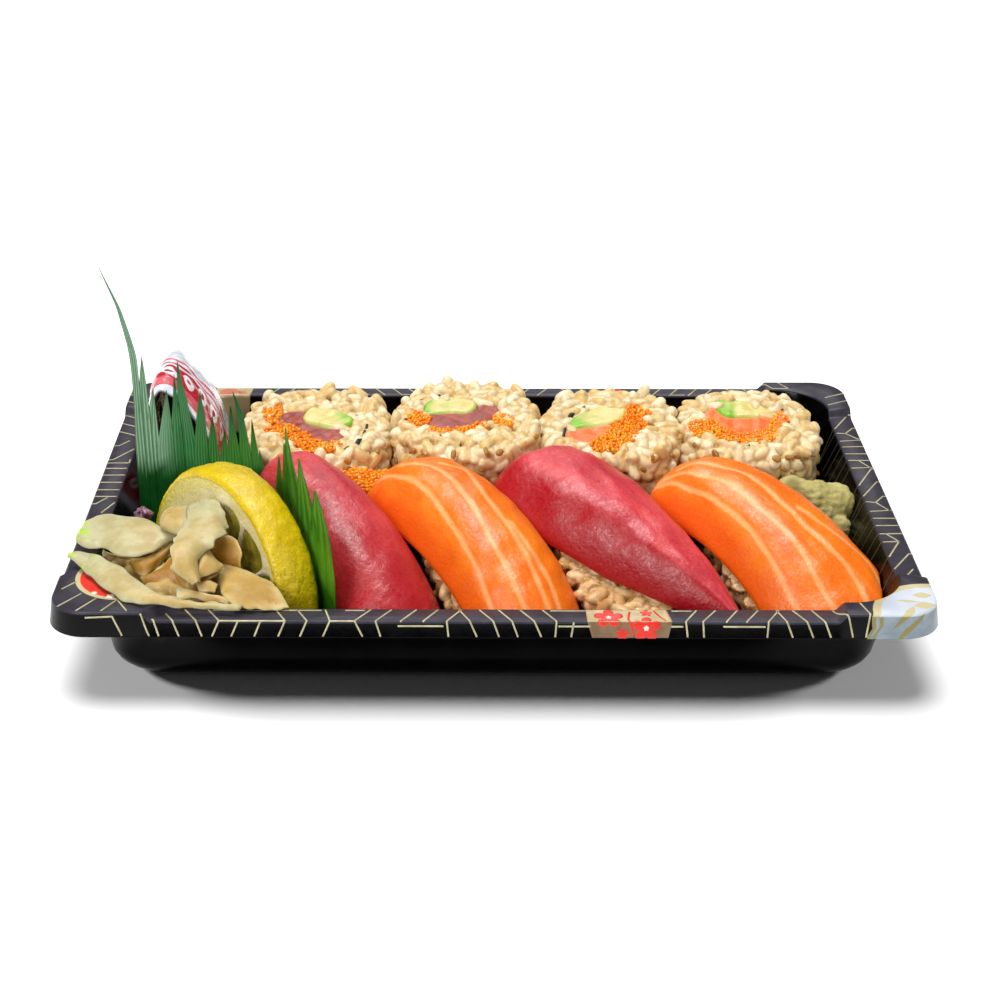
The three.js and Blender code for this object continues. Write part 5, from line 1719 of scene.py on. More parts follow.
# ---------------------------------------------------------------- nigiri
@dataclass
class FishSlice:
    """A slice of fish over its rice, from behind the peak down to the front wall of the tray."""

    name: str
    kind: Food
    peak: Triple
    heading: float                      # degrees from straight towards the front
    back: float                         # length behind the peak
    front: float
    left: Triple                        # half widths at the back, the middle and the front
    right: Triple
    ends: tuple[float, float]           # heights of the back end and the front end
    side_drop: tuple[float, float]
    thickness: float
    seed: int
    fat_lines: tuple[tuple[Station, ...], ...] = ()     # places along and across, as shares
    band: float = 0.1                   # share of the width that the left side's painted shade takes
    # how strongly the front end, which slopes away from the light, is painted with shade
    front_dark: float = 0.25
    lift: float = 0.0                   # of the front right corner
    along_steps: int = 150
    across_steps: int = 84

    def width_at(self, widths: Triple, u: Array) -> Array:
        """Runs a curve through three widths at the back, the middle and the front."""
        a, m, b = widths
        return a * (1 - u) * (1 - 2 * u) + m * 4 * u * (1 - u) + b * u * (2 * u - 1)

    def point(self, u: Array, v: Array, depth: Array) -> Array:
        """Finds points of the slice.

        Args:
            u: Place from the back end, 0, to the front end, 1.
            v: Place from the left edge, 0, to the right edge, 1.
            depth: Depth under the upper face, 1 at the lower face.

        Returns:
            The points.
        """
        heading = math.radians(self.heading)
        along = np.array([math.sin(heading), -math.cos(heading), 0])
        across = np.array([math.cos(heading), math.sin(heading), 0])
        s = -self.back + (self.front + self.back) * u
        side = 2 * v - 1
        end_round = np.sqrt(1 - 0.45 * np.abs(2 * u - 1) ** 6)
        left, right = self.width_at(self.left, u), self.width_at(self.right, u)
        middle = (right - left) / 2
        t = middle + (-left + (right + left) * v - middle) * end_round
        run = np.where(s < 0, -s / self.back, s / self.front)
        fall = self.peak[2] - np.where(s < 0, self.ends[0], self.ends[1])
        drop = np.where(side < 0, self.side_drop[0], self.side_drop[1]) * np.minimum(1, (left + right) / 26)
        crown = self.peak[2] - fall * run ** 2.1 - drop * np.abs(side) ** 2.6
        edge = np.maximum(np.abs(side) ** 4, np.abs(2 * u - 1) ** 8)
        z = crown + self.lift * u ** 4 * v ** 2 - depth * self.thickness * (1 - 0.5 * edge)
        flat = np.array(self.peak[:2] + (0.0,)) + s[..., None] * along + t[..., None] * across
        return flat + z[..., None] * np.array([0, 0, 1.0])

    def underside(self) -> Array:
        """Gives points all over the lower face."""
        u, v = np.meshgrid(np.linspace(0, 1, 90), np.linspace(0, 1, 60))
        return inside_tray(self.point(u.ravel(), v.ravel(), np.ones(u.size)), 0.4)

    def lines_in_space(self) -> list[Array]:
        """Lays the fat lines on the upper face."""
        lines = []
        for line in self.fat_lines:
            places = curve_through((*line, (0.97, line[-1][1])), 50)
            lines.append(self.point(places[:, 0], places[:, 1], np.zeros(len(places))))
        return lines

    def shape(self) -> Shape:
        """Makes the slice: a closed skin with rounded edges, and grooves at the fat lines."""
        spread = np.linspace(-1, 1, self.across_steps)
        side = 0.45 * spread + 0.55 * np.sin(spread * math.pi / 2)
        spread = np.linspace(-1, 1, self.along_steps)
        lengthwise = 0.5 * spread + 0.5 * np.sin(spread * math.pi / 2)
        u = ((lengthwise + 1) / 2)[:, None]
        rounding = np.sqrt(np.clip((1 - np.abs(side) ** 12) * (1 - np.abs(lengthwise[:, None]) ** 26), 0, 1))
        v = np.concatenate([side, side[-2:0:-1]])[None, :] / 2 + 0.5
        half = np.concatenate([rounding, -rounding[:, -2:0:-1]], axis=1) / 2
        u_all, v_all = np.broadcast_arrays(u, v)
        depth = 0.5 - half
        points = self.point(u_all, v_all, depth)
        flow = np.stack([
            (self.front + self.back) * u_all, 15.0 * (2 * v_all - 1) + 15.0, depth * self.thickness,
        ], axis=-1)
        flat = points.reshape(-1, 3)
        fat = np.full(len(flat), 50.0)
        for line in self.lines_in_space():
            fat = np.minimum(fat, distance_to_line(flat, line))
        fat = fat.reshape(points.shape[:2])
        upper = np.clip(half * 2, 0, 1) ** 0.5
        swell = 0.32 * bumps(points, 9.0, self.seed) + 0.07 * bumps(points, 3.0, self.seed + 1)
        groove = 0.2 * np.exp(-(fat / 0.8) ** 2)
        points = points + np.array([0, 0, 1.0]) * ((swell - groove) * upper)[..., None]
        points = inside_tray(points, 0.4)
        wander = v_all + 0.02 * bumps(points, 8.0, self.seed + 2)
        along = u_all + 0.05 * bumps(points, 12.0, self.seed + 3)
        # the mark named side: the cut edges, plus painted shade on the left band and towards the front end
        left_band = 1 - soft_step(wander, self.band - 0.08, self.band + 0.08)
        cut = np.maximum(1 - np.clip(half * 2.4, -1, 1), left_band)
        cut = np.maximum(cut, self.front_dark * soft_step(along, 0.3, 0.85))
        marks = {"fat": fat, "side": np.clip(cut, 0, 1), "flow": flow}
        return Shape.lofted(points, marks)


@dataclass
class RiceBall:
    """The pressed rice under a slice: a plain heart covered with large glossy grains."""

    number: int
    x: float
    y: float
    heading: float
    top: float
    length: float = 54.0
    width: float = 26.0
    heart_inset: float = 3.0
    grain_inset: float = 1.5
    grain_gap: float = 3.0
    grain_count: int = 330
    tries: int = 6000
    voxel: float = 0.47                 # how fine the melted skin is

    def surface(self, directions: Array, inset: float) -> Array:
        """Finds the points of the rounded block in given directions, inset from its surface."""
        powers = np.array([0.9, 0.75, 0.7])
        halves = np.array([self.width / 2, self.length / 2, (self.top - FLOOR) / 2]) - inset
        local = np.sign(directions) * np.abs(directions) ** powers * halves
        turn = math.radians(self.heading)
        across = np.array([math.cos(turn), math.sin(turn), 0])
        along = np.array([-math.sin(turn), math.cos(turn), 0])
        centre = np.array([self.x, self.y, FLOOR + (self.top - FLOOR) / 2 - 0.5])
        return centre + local[:, :1] * across + local[:, 1:2] * along + local[:, 2:] * np.array([0, 0, 1.0])

    def build(self, underside: Array) -> None:
        """Builds the heart and its grains, under the slice above and beside its edges.

        Args:
            underside: Points of the slice's lower face.
        """
        tree = KDTree(len(underside))
        for i, (x, y, _) in enumerate(underside):
            tree.insert(Vector((x, y, 0.0)), i)
        tree.balance()
        seed = 200 + self.number
        random = np.random.default_rng(seed)
        heart = ball(30, 40)
        points = self.surface(heart.points, self.heart_inset)
        points += unit(points - points.mean(0)) * (0.5 * bumps(points, 4.5, seed))[:, None]
        points[:, 2] = np.clip(points[:, 2], FLOOR, self.limits(points, underside, tree) - 2.3)
        points[:, 2] = np.maximum(points[:, 2], FLOOR)
        heart = Shape(points, heart.faces)
        directions = unit(random.normal(size=(self.tries, 3)))
        centres = self.surface(directions, self.grain_inset)
        limits = self.limits(centres, underside, tree) - 1.3
        pressed = soft_step(centres[:, 2] - limits, -0.5, 1.5)[:, None]
        directions = unit(directions * (1 - pressed) + np.array([0, 0, 1.0]) * pressed)
        centres[:, 2] = np.minimum(centres[:, 2], limits)
        keep = (centres[:, 2] > FLOOR + 1.2) & (np.abs(centres[:, 1]) < 60.0)
        packed = heart.tree()
        keep &= np.array([packed.find_nearest(Vector(point))[3] < 2.0 for point in centres])
        directions, centres = directions[keep], centres[keep]
        picked = scattered(centres, self.grain_gap, self.grain_count)
        tones = random.uniform(0, 1, len(picked))
        grains = NIGIRI_GRAIN.laid(centres[picked], directions[picked], seed + 50)
        ceiling = np.maximum(self.limits(grains.points, underside, tree, 0.9), FLOOR)
        grains.points[:, 2] = np.minimum(grains.points[:, 2], ceiling)
        name = f"nigiri_rice_{self.number}"
        rice = melted(heart, grains, tones, self.voxel)
        rice.piece(f"{name}_grains", NIGIRI_RICE, "seasoned_rice", name)

    def limits(self, points: Array, underside: Array, tree: KDTree, rise: float = 0.3) -> Array:
        """Finds how high the rice may reach at each point.

        Args:
            points: The points.
            underside: Points of the slice's lower face.
            tree: Their search tree in plan.
            rise: How steeply the limit rises beside the slice.

        Returns:
            The heights: the slice's lower face, and from its edges gently up and outward.
        """
        highest = []
        for x, y, _ in points:
            _, i, distance = tree.find(Vector((x, y, 0.0)))
            highest.append(underside[i, 2] - 0.4 + rise * max(0.0, distance - 0.9))
        return np.array(highest)


# ---------------------------------------------------------------- rolls
@dataclass
class Filling:
    """One thing in the middle of a roll, by its outlines round the roll's middle on the cut face."""

    kind: Food
    outlines: tuple[tuple[Station, ...], ...]


@dataclass
class Roll:
    """An upright roll with rice outside: a heart, its grains, seeds, nori and fillings."""

    number: int
    x: float
    y: float
    radius: float
    top: float
    fillings: tuple[Filling, ...]
    nori: tuple[tuple[Station, ...], ...]
    tilt: float = 0.10                  # rise of the cut face towards the back
    green_side: int = -1                # the side of the avocado with the skin: -1 left, 1 right
    squareness: float = 0.8             # 1 is round
    grain_gap: float = 2.8
    grain_count: int = 800
    tries: int = 5200
    top_tries: int = 2600
    voxel: float = 0.46
    seed_count: int = 34

    def face(self, y: Array) -> Array:
        """Gives the height of the cut face at y."""
        return self.top + self.tilt * (y - self.y)

    def round_the_side(self, angles: Array, radius: Array) -> Array:
        """Finds plan points round the roll, which is a little square."""
        cosine, sine = np.cos(angles), np.sin(angles)
        x = self.x + radius * np.sign(cosine) * np.abs(cosine) ** self.squareness
        y = self.y + radius * np.sign(sine) * np.abs(sine) ** self.squareness
        return np.stack([x, y], axis=-1)

    def heart(self) -> Shape:
        """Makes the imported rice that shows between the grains."""
        angles = np.linspace(0, 2 * math.pi, 96, endpoint=False)
        rows = [
            (2.5, 0.0), (2.5, 0.3), (2.5, 0.6), (2.5, 0.88), (3.2, 0.96), (4.4, 1.0), (7.0, 1.0),
            (10.0, 1.0),
        ]
        rings = []
        for inset, share in rows:
            plan = self.round_the_side(angles, np.full(96, self.radius - inset))
            z = FLOOR + 0.2 + (self.face(plan[:, 1]) - 2.3 - FLOOR) * share
            rings.append(np.column_stack([plan, z]))
        points = np.array(rings)
        outward = unit(points - np.array([self.x, self.y, 14.0]))
        points += 0.35 * bumps(points, 4.0, self.number)[..., None] * outward
        return Shape.lofted(points)

    def in_filling(self, plan: Array) -> Array:
        """Tells which plan points lie in the roll's fillings."""
        inside = np.zeros(len(plan), bool)
        for filling in self.fillings:
            for outline in filling.outlines:
                inside |= inside_outline(plan - np.array([self.x, self.y]), np.array(outline))
        return inside

    def rice(self) -> Shape:
        """Covers the side and the cut face with grains."""
        random = np.random.default_rng(300 + self.number)
        tries = self.tries
        angles = random.uniform(0, 2 * math.pi, tries)
        share = random.uniform(0, 1, tries)
        side_plan = self.round_the_side(angles, np.full(tries, self.radius - 1.3))
        side = np.column_stack([side_plan, FLOOR + 1.5 + share * (self.face(side_plan[:, 1]) - FLOOR - 2.6)])
        outward = np.column_stack([np.cos(angles), np.sin(angles), np.full(tries, 0.1)])
        angles = random.uniform(0, 2 * math.pi, tries)
        radius = (self.radius - 2.2) * np.sqrt(random.uniform(0.1, 1, tries))
        plan = self.round_the_side(angles, radius)
        free = ~self.in_filling(plan)
        near_edge = soft_step(radius, self.radius - 5, self.radius - 2)
        level = self.face(plan[:, 1]) - 1.0 - 1.2 * near_edge + random.uniform(-0.4, 0.5, tries)
        top = np.column_stack([plan, level])[free]
        upward = np.column_stack([np.cos(angles) * near_edge * 0.6, np.sin(angles) * near_edge * 0.6,
                                  np.ones(tries)])[free]
        centres = np.vstack([top[:self.top_tries], side])
        normals = unit(np.vstack([upward[:self.top_tries], outward]))
        picked = scattered(centres, self.grain_gap, self.grain_count)
        grains = ROLL_GRAIN.laid(centres[picked], normals[picked], 330 + self.number)
        return melted(self.heart(), grains, random.uniform(0, 1, len(picked)), self.voxel)

    def seeds(self) -> Shape:
        """Scatters sesame seeds, most of them on the front."""
        random = np.random.default_rng(360 + self.number)
        count = self.seed_count
        angles = random.normal(-math.pi / 2, 0.8, count)
        share = random.uniform(0.25, 1.02, count)
        plan = self.round_the_side(angles, np.full(count, self.radius + 0.1))
        centres = np.column_stack([plan, FLOOR + share * (self.face(plan[:, 1]) - FLOOR)])
        outward = np.column_stack([np.cos(angles), np.sin(angles), np.full(count, 0.3)])
        return SEED_GRAIN.laid(centres, outward, 370 + self.number, {"shade": random.uniform(0, 0.8, count)})

    def nori_ribbons(self) -> Shape:
        """Stands short ragged ribbons of nori between the rice and the fillings."""
        parts = []
        for i, line in enumerate(self.nori):
            plan = curve_through(line, 24) if len(line) > 2 else np.linspace(line[0], line[-1], 10)
            steps = len(plan)
            plan = plan + np.array([self.x, self.y])
            tangent = unit(np.gradient(plan, axis=0))
            across = np.column_stack([-tangent[:, 1], tangent[:, 0]])
            ragged = 0.35 * bumps(np.column_stack([plan, np.zeros(steps)]), 2.5, 10 * self.number + i)
            half = 0.32 + 0.22 * np.abs(ragged)
            top = self.face(plan[:, 1]) + 0.25 + ragged
            low = top - 5.0
            wide = across * half[:, None]
            corners = ((-wide, low), (-wide, top), (wide, top), (wide, low))
            rings = np.stack([np.column_stack([plan + side, z]) for side, z in corners], axis=1)
            parts.append(Shape.lofted(rings, {"shade": np.full(rings.shape[:2], 0.3)}))
        return Shape.joined(parts)

    def upright(self, outline: Sequence[Station], proud: float, rounding: float, seed: int,
                green: bool = False) -> Shape:
        """Makes an upright piece over an outline, with a softly rounded upper edge.

        Args:
            outline: The corners of the outline round the roll's middle.
            proud: How far its top stands above the cut face.
            rounding: The radius of its upper edge.
            seed: The seed of its unevenness.
            green: Whether the mark named shade grows towards the roll's green side.

        Returns:
            The closed piece.
        """
        curve = curve_through(outline, 7 * len(outline), closed=True)
        plane, triangles, depth = filled_outline(curve, 0.55)
        plan = plane + np.array([self.x, self.y])
        inner = np.clip(depth / rounding, 0, 1)
        z = self.face(plan[:, 1]) + proud - rounding * (1 - np.sqrt(1 - (1 - inner) ** 2))
        top = np.column_stack([plan, z])
        top[:, 2] += 0.22 * bumps(top, 3.2, seed) * inner
        low = np.column_stack([plan, np.full(len(plan), FLOOR + 0.4)])
        shade = 1 - soft_step(depth, 0.0, 1.6)
        if green:
            reach = np.ptp(plane[:, 0]) / 2
            end = self.green_side * (plane[:, 0] - plane[:, 0].min() - reach) / reach
            shade = np.clip(0.35 * shade + soft_step(end + 0.25 * bumps(top, 4.0, seed), 0.0, 0.95), 0, 1)
        return Shape.prism(top, low, triangles, len(curve), shade)

    def beads(self, outlines: Sequence[Sequence[Station]], seed: int) -> Shape:
        """Heaps fish eggs over outlines on the cut face."""
        random = np.random.default_rng(seed)
        parts = []
        for outline in outlines:
            curve = curve_through(outline, 60, closed=True)
            low, high = curve.min(0) - 0.5, curve.max(0) + 0.5
            candidates = random.uniform(low, high, size=(2500, 2))
            near = distance_to_line(candidates, np.vstack([curve, curve[:1]])) < 0.45
            candidates = candidates[inside_outline(candidates, curve) | near]
            plan = candidates + np.array([self.x, self.y])
            level = self.face(plan[:, 1]) + random.uniform(-0.4, 0.5, len(plan))
            centres = np.column_stack([plan, level])
            picked = scattered(centres, 0.72, 700)
            parts.append(eggs(centres[picked], (0.46, 0.66), 7, random))
        return Shape.joined(parts)

    def build(self) -> None:
        """Builds the roll's pieces."""
        number = self.number
        self.rice().piece(f"roll_rice_{number}_grains", ROLL_RICE, "rice", f"roll_rice_{number}")
        self.seeds().piece(f"roll_seeds_{number}", SESAME, "rice")
        self.nori_ribbons().piece(f"roll_nori_{number}_strip", NORI, "nori", f"roll_nori_{number}")
        looks = {Food.AVOCADO: (AVOCADO, 0.5), Food.TUNA: (ROLL_TUNA, 0.2), Food.SALMON: (ROLL_SALMON, 0.25)}
        for filling in self.fillings:
            seed = 400 + 10 * number
            slot = filling.kind.value
            node = f"roll_{slot}_{number}"
            if filling.kind is Food.ROE:
                core = [self.upright(outline, -0.5, 0.5, seed) for outline in filling.outlines]
                heap = Shape.joined([*core, self.beads(filling.outlines, seed)])
                heap.piece(f"{node}_eggs", ROE, slot, node)
                continue
            finish, proud = looks[filling.kind]
            green = filling.kind is Food.AVOCADO
            shapes = [self.upright(outline, proud, 1.1, seed + 3, green) for outline in filling.outlines]
            Shape.joined(shapes).piece(f"{node}_strip", finish, slot, node)


# ---------------------------------------------------------------- lemon
@dataclass
class Lemon:
    """A thick slice from near the lemon's end, standing on its cut edge."""

    centre: Triple = (-71.4, -33.1, 10.8)
    turn: float = 50.0                  # degrees
    lean: float = 5.0
    radius: float = 30.5
    thickness: float = 11.4
    bulge: float = 1.0
    chord: float = 9.6                  # from the centre down to the straight cut edge
    zest: float = 1.6
    wedge_depth: float = 1.1
    pulp_level: float = 0.75            # below the cut face
    pulp_foot: float = 2.4

    def frame(self) -> tuple[Array, Array, Array]:
        """Gives the slice's right, up and outward directions."""
        turn, lean = math.radians(self.turn), math.radians(self.lean)
        out = np.array([-math.sin(turn) * math.cos(lean), -math.cos(turn) * math.cos(lean), math.sin(lean)])
        right = unit(np.cross([0, 0, 1.0], out))
        return right, np.cross(out, right), out

    def placed(self, x: Array, y: Array, depth: Array) -> Array:
        """Puts points of the slice's own plane in place, with the depth behind the cut face."""
        right, up, out = self.frame()
        return np.array(self.centre) + x[..., None] * right + y[..., None] * up - depth[..., None] * out

    def wedges(self) -> list[Array]:
        """Gives the outlines of the pulp that the cut opened."""
        shown = (
            (
                (1.9, 24.4), (5.5, 24.9), (8.4, 23.8), (10.6, 21.5), (9.5, 16.8), (7.5, 13.5), (4.7, 15.6),
                (2.4, 19.4),
            ),
            (
                (11.0, 21.4), (13.6, 21.6), (16.1, 20.5), (19.6, 17.7), (20.6, 13.9), (18.0, 11.0),
                (15.7, 9.9), (11.4, 9.2), (9.9, 11.4), (10.4, 15.5),
            ),
            ((18.6, 11.0), (21.6, 13.0), (24.2, 12.9), (23.6, 9.0), (22.0, 4.0), (14.0, 5.6)),
            ((-2.0, 20.5), (0.0, 19.0), (2.0, 12.0), (-3.0, 8.0), (-8.0, 12.0), (-6.5, 17.5)),
        )
        return [curve_through(outline, 50, closed=True) for outline in shown]

    def hollow(self, x: Array, y: Array, wedges: Sequence[Array]) -> Array:
        """Gives how far the cut face lies back.

        Args:
            x: How far to the right its points lie in the slice's plane.
            y: How far up they lie.
            wedges: The outlines of the open wedges.

        Returns:
            The depths, which grow inside the wedges and at the rounded rim.
        """
        plan = np.column_stack([x, y])
        depth = np.zeros(len(x))
        for wedge in wedges:
            closed = np.vstack([wedge, wedge[:1]])
            inside = np.where(inside_outline(plan, wedge), distance_to_line(plan, closed), 0)
            depth = depth + self.wedge_depth * soft_step(inside, 0.0, 1.0)
        return depth + 0.5 * soft_step(np.hypot(x, y), self.radius - 1.2, self.radius) ** 2

    def marks_at(self, x: Array, y: Array, on_side: bool) -> Marks:
        """Gives the colour marks of points of the slice.

        Args:
            x: How far to the right they lie in the slice's plane.
            y: How far up they lie.
            on_side: Whether they lie on the peel rather than on a cut face.

        Returns:
            The marks zest, tint, stain and old.
        """
        distance = np.hypot(x, y)
        pith_end = self.radius - self.zest
        upper_left = soft_step(-x + y * 0.4, 6.0, 22.0)
        tint = soft_step(distance, self.radius - 5.5, self.radius - 1.5) * (0.35 + 0.65 * upper_left)
        tint = tint + 0.5 * upper_left * soft_step(distance, 16, 26)
        rim = np.maximum(soft_step(distance, pith_end - 0.5, pith_end + 0.4), float(on_side))
        return {
            "zest": rim * (y > 0.05 - self.chord),
            "tint": np.clip(tint, 0, 1),
            "stain": np.exp(-((x + 1.0) / 8.0) ** 2 - ((y - 26.2) / 1.6) ** 2),
            "old": soft_step(x - 0.7 * y, -6.0, 24.0),
        }

    def body(self) -> Shape:
        """Makes the slice with its marks for zest, pith and stains, and hollows at the pulp."""
        angles = np.linspace(-math.pi, math.pi, 260, endpoint=False)
        face = np.linspace(0.02, 1, 70)
        rows = [(share, 0.0) for share in face] + [(1.0, depth) for depth in np.linspace(0, 1, 14)[1:]]
        rows += [(share, 1.0) for share in face[::-6]]
        wedges = self.wedges()
        rings, found = [], []
        for share, depth in rows:
            edge = self.radius + self.bulge * math.sin(math.pi * depth) - 0.7 * (2 * depth - 1) ** 8
            radius = share * edge
            x, y = radius * np.cos(angles), np.maximum(radius * np.sin(angles), -self.chord)
            level = np.full(len(angles), depth * self.thickness)
            if depth == 0.0:
                level = self.hollow(x, y, wedges)
            rings.append(self.placed(x, y, level))
            found.append(self.marks_at(x, y, 0.0 < depth < 1.0))
        marks = {name: np.array([each[name] for each in found]) for name in found[0]}
        points = np.array(rings)
        outward = unit(points - np.array(self.centre))
        points += outward * (0.12 * bumps(points, 1.6, 61) * marks["zest"])[..., None]
        points += outward * (0.12 * bumps(points, 5.0, 62))[..., None]
        return Shape.lofted(points, marks)

    def pulp(self) -> Shape:
        """Fills the open wedges with glossy pulp, a little under the cut face."""
        parts = []
        for number, wedge in enumerate(self.wedges()):
            plane, triangles, depth = filled_outline(wedge, 0.5)
            level = self.pulp_level - 0.35 * np.clip(depth / 2.0, 0, 1)
            points = self.placed(plane[:, 0], plane[:, 1], level)
            points += np.array(self.frame()[2]) * (0.12 * bumps(points, 2.0, 70 + number))[:, None]
            lower = self.placed(plane[:, 0], plane[:, 1], np.full(len(plane), self.pulp_foot))
            shade = 1 - soft_step(depth, 0.0, 0.9)
            parts.append(Shape.prism(points, lower, triangles, len(wedge), shade))
        return Shape.joined(parts)

    def build(self) -> None:
        """Builds peel and pulp."""
        self.body().piece("lemon_slice_peel", PEEL, "rind", "lemon_slice")
        self.pulp().piece("lemon_slice_pulp", PULP, "pulp", "lemon_pulp")


# ---------------------------------------------------------------- ginger
@dataclass
class GingerSlice:
    """One thin slice of ginger between two edges, with its ruffles and colours."""

    upper: tuple[Triple, ...]
    lower: tuple[Triple, ...]
    belly: float = 1.0
    ruffle: float = 0.5
    warm: tuple[float, float] = (0.3, 0.4)      # how amber its two ends are
    lime: float = 0.0                   # how green its first end is
    thickness: float = 0.6
    frill: float = 0.3

    def shape(self, seed: int) -> Shape:
        """Makes the slice.

        Args:
            seed: The seed of its ruffles.

        Returns:
            The closed sheet.
        """
        columns, rows = 90, 40
        upper = curve_through(self.upper, columns)
        lower = curve_through(self.lower, columns)
        v = np.linspace(0, 1, rows)[:, None, None]
        u = np.linspace(0, 1, columns)[None, :]
        middle = upper + (lower - upper) * v
        along = np.gradient(middle, axis=1)
        across = np.broadcast_to(lower - upper, middle.shape)
        normal = unit(np.cross(across, along))
        normal *= np.where(normal[..., 2:] < 0, -1, 1)
        arch = 0.75 * self.belly * np.sin(np.pi * v[..., 0])
        edge = np.abs(2 * v[..., 0] - 1)
        rim = np.maximum(edge, np.abs(2 * u - 1))
        large, small = bumps(middle, 10.0, seed), bumps(middle, 3.5, seed + 1)
        wave = self.ruffle * (large * (0.4 + 0.6 * edge) + 0.1 * small)
        middle = middle + normal * (arch + wave)[..., None]
        frill = self.frill * bumps(middle, 3.6, seed + 2) * rim ** 6
        middle = middle + unit(across) * frill[..., None]
        half = normal * (np.sqrt(np.clip(1 - rim ** 10, 0.02, 1)) * self.thickness / 2)[..., None]
        # painted shade: slices lower in the heap turn amber; painted glow: the edges turn paler
        sunk = 0.35 * (1 - soft_step(middle[..., 2], 23.5, 29.5)) * (1 - rim ** 4)
        warm = self.warm[0] + (self.warm[1] - self.warm[0]) * u + 0.12 * wave
        warm = np.clip(warm + sunk * (1 - self.lime) - 0.3 * rim ** 5, 0, 1)
        lime = np.broadcast_to(self.lime * (1 - soft_step(u, 0.12, 0.3)), warm.shape)
        return Shape.sheet(middle + half, middle - half, {"warm": warm, "lime": lime})


@dataclass
class Ginger:
    """The heap of pickled ginger in the front left corner."""

    slices: tuple[GingerSlice, ...]
    mounds: tuple[tuple[Triple, Triple], ...] = (
        ((-81.0, -44.0, 9.0), (14.5, 13.5, 12.5)),
        ((-74.5, -45.0, 19.0), (5.5, 10.5, 12.5)),
        ((-89.5, -39.0, 16.0), (9.5, 8.5, 8.6)),
        ((-80.0, -54.0, 14.0), (11.0, 6.5, 9.6)),
    )

    def mound(self, centre: Triple, reach: Triple) -> Shape:
        """Makes one folded mass under the loose slices.

        Args:
            centre: Its middle.
            reach: Its half sizes.

        Returns:
            The closed mass.
        """
        shape = ball(50, 64)
        points = shape.points * np.array(reach) + np.array(centre)
        fold = 1.1 * np.abs(bumps(points * np.array([1, 1, 2.2]), 9.0, 81)) + 0.5 * bumps(points, 3.0, 82)
        points += unit(points - np.array(centre)) * fold[:, None]
        points[:, 2] = np.maximum(points[:, 2], FLOOR + 0.2)
        points = inside_tray(points, 0.6)
        # painted shade: the mound under the slices is amber, more so in its dents
        warm = np.clip(0.75 - 0.3 * fold, 0, 1)
        return Shape(points, shape.faces, {"warm": warm, "lime": np.zeros(len(points))})

    def build(self) -> None:
        """Builds the heap and its slices as one piece."""
        shapes = [self.mound(*place) for place in self.mounds]
        shapes += [piece.shape(500 + 7 * i) for i, piece in enumerate(self.slices)]
        Shape.joined(shapes).piece("pickled_ginger_slices", GINGER, "ginger", "pickled_ginger")


# ---------------------------------------------------------------- leaf dividers
@dataclass
class Tooth:
    """One blade of the plastic grass, by its left and right edge from the foot to the tip."""

    left: tuple[Station, ...]
    right: tuple[Station, ...]


@dataclass
class LeafStrip:
    """A thin strip of plastic grass: long pointed blades side by side on one plain band."""

    name: str
    start: Station
    end: Station
    wave: float
    teeth: tuple[Tooth, ...]
    finish: LeafPlastic
    faded_reach: float                  # share of the strip, from its start, that takes the strongest painted sheen
    band_top: float                     # where the blades part
    foot: float = 1.2
    thickness: float = 0.4
    rib_spacing: float = 0.85

    def folded(self, places: Array, z: Array, rib: Array, step: float, top: Array) -> Shape:
        """Makes a sheet of the strip's plastic.

        Args:
            places: Places along the strip, by row and column.
            z: The heights.
            rib: The ribs' rise at each point, from -1 to 1.
            step: How far the sheet stands behind the strip's middle.
            top: How near each point is to the upper end, from 0 to 1.

        Returns:
            The closed sheet with its colour marks.
        """
        run = np.array(self.end) - np.array(self.start)
        sideways = unit(np.array([-run[1], run[0]]))
        bend = self.wave * np.sin(places * 9) * np.clip(z / 40, 0, 1.6) + step
        plan = np.array(self.start) + places[..., None] * run + sideways * bend[..., None]
        middle = inside_tray(np.concatenate([plan, z[..., None]], axis=-1), 0.6)
        across = np.array([*sideways, 0.0])
        half = self.thickness / 2 * (1 - 0.6 * top ** 3)
        relief = 0.11 * rib
        upper = middle + across * (half + relief)[..., None]
        lower = middle + across * (-half + relief)[..., None]
        blade = soft_step(z, self.band_top - 2.5, self.band_top + 2.0)
        left = 1 - soft_step(places, self.faded_reach * 0.4, self.faded_reach)
        # painted highlight and sheen: streak and ridge peak on the rib crests; the sheen is strongest near
        # the strip's start
        streak = 0.5 + 0.5 * rib
        ridge = streak ** 2
        faded = np.clip(blade * (0.7 * left * (0.3 + 0.7 * ridge) + 0.14 * ridge * (1 - left)), 0, 1)
        low_down = 1 - soft_step(z, self.band_top + 6, self.band_top + 15)
        fresh = blade * soft_step(places, 0.4, 0.8) * low_down
        marks = {"tooth": blade * (0.25 + 0.75 * streak), "faded": faded, "fresh": 0.8 * fresh}
        return Shape.sheet(upper, lower, marks)

    def blade(self, tooth: Tooth, number: int) -> Shape:
        """Makes one blade from the strip's foot to its tip, with its ribs."""
        left, right = curve_through(tooth.left, 26), curve_through(tooth.right, 26)
        count = 17
        t = np.linspace(0, 1, count)[None, :]
        steps = np.linspace(0, 1, 10, endpoint=False)[:, None]
        low = np.column_stack([left[:1, 0] - 0.012, [self.foot]])
        left = np.vstack([low + (left[:1] - low) * steps, left])
        low = np.column_stack([right[:1, 0] + 0.012, [self.foot]])
        right = np.vstack([low + (right[:1] - low) * steps, right])
        places = left[:, :1] + (right[:, :1] - left[:, :1]) * t
        z = left[:, 1:] + (right[:, 1:] - left[:, 1:]) * t
        width = abs(tooth.right[0][0] - tooth.left[0][0]) * math.dist(self.start, self.end)
        ribs = max(2, round(width / self.rib_spacing))
        rib = np.broadcast_to(np.sin(t * ribs * 2 * math.pi - math.pi / 2), z.shape)
        top = np.broadcast_to(np.linspace(0, 1, len(z))[:, None], z.shape)
        return self.folded(places, z, rib, 0.1 * (number % 3), top)

    def build(self) -> None:
        """Builds the strip."""
        parts = [self.blade(tooth, number) for number, tooth in enumerate(self.teeth)]
        Shape.joined(parts).piece(f"{self.name}_strip", self.finish, "leaf", self.name)


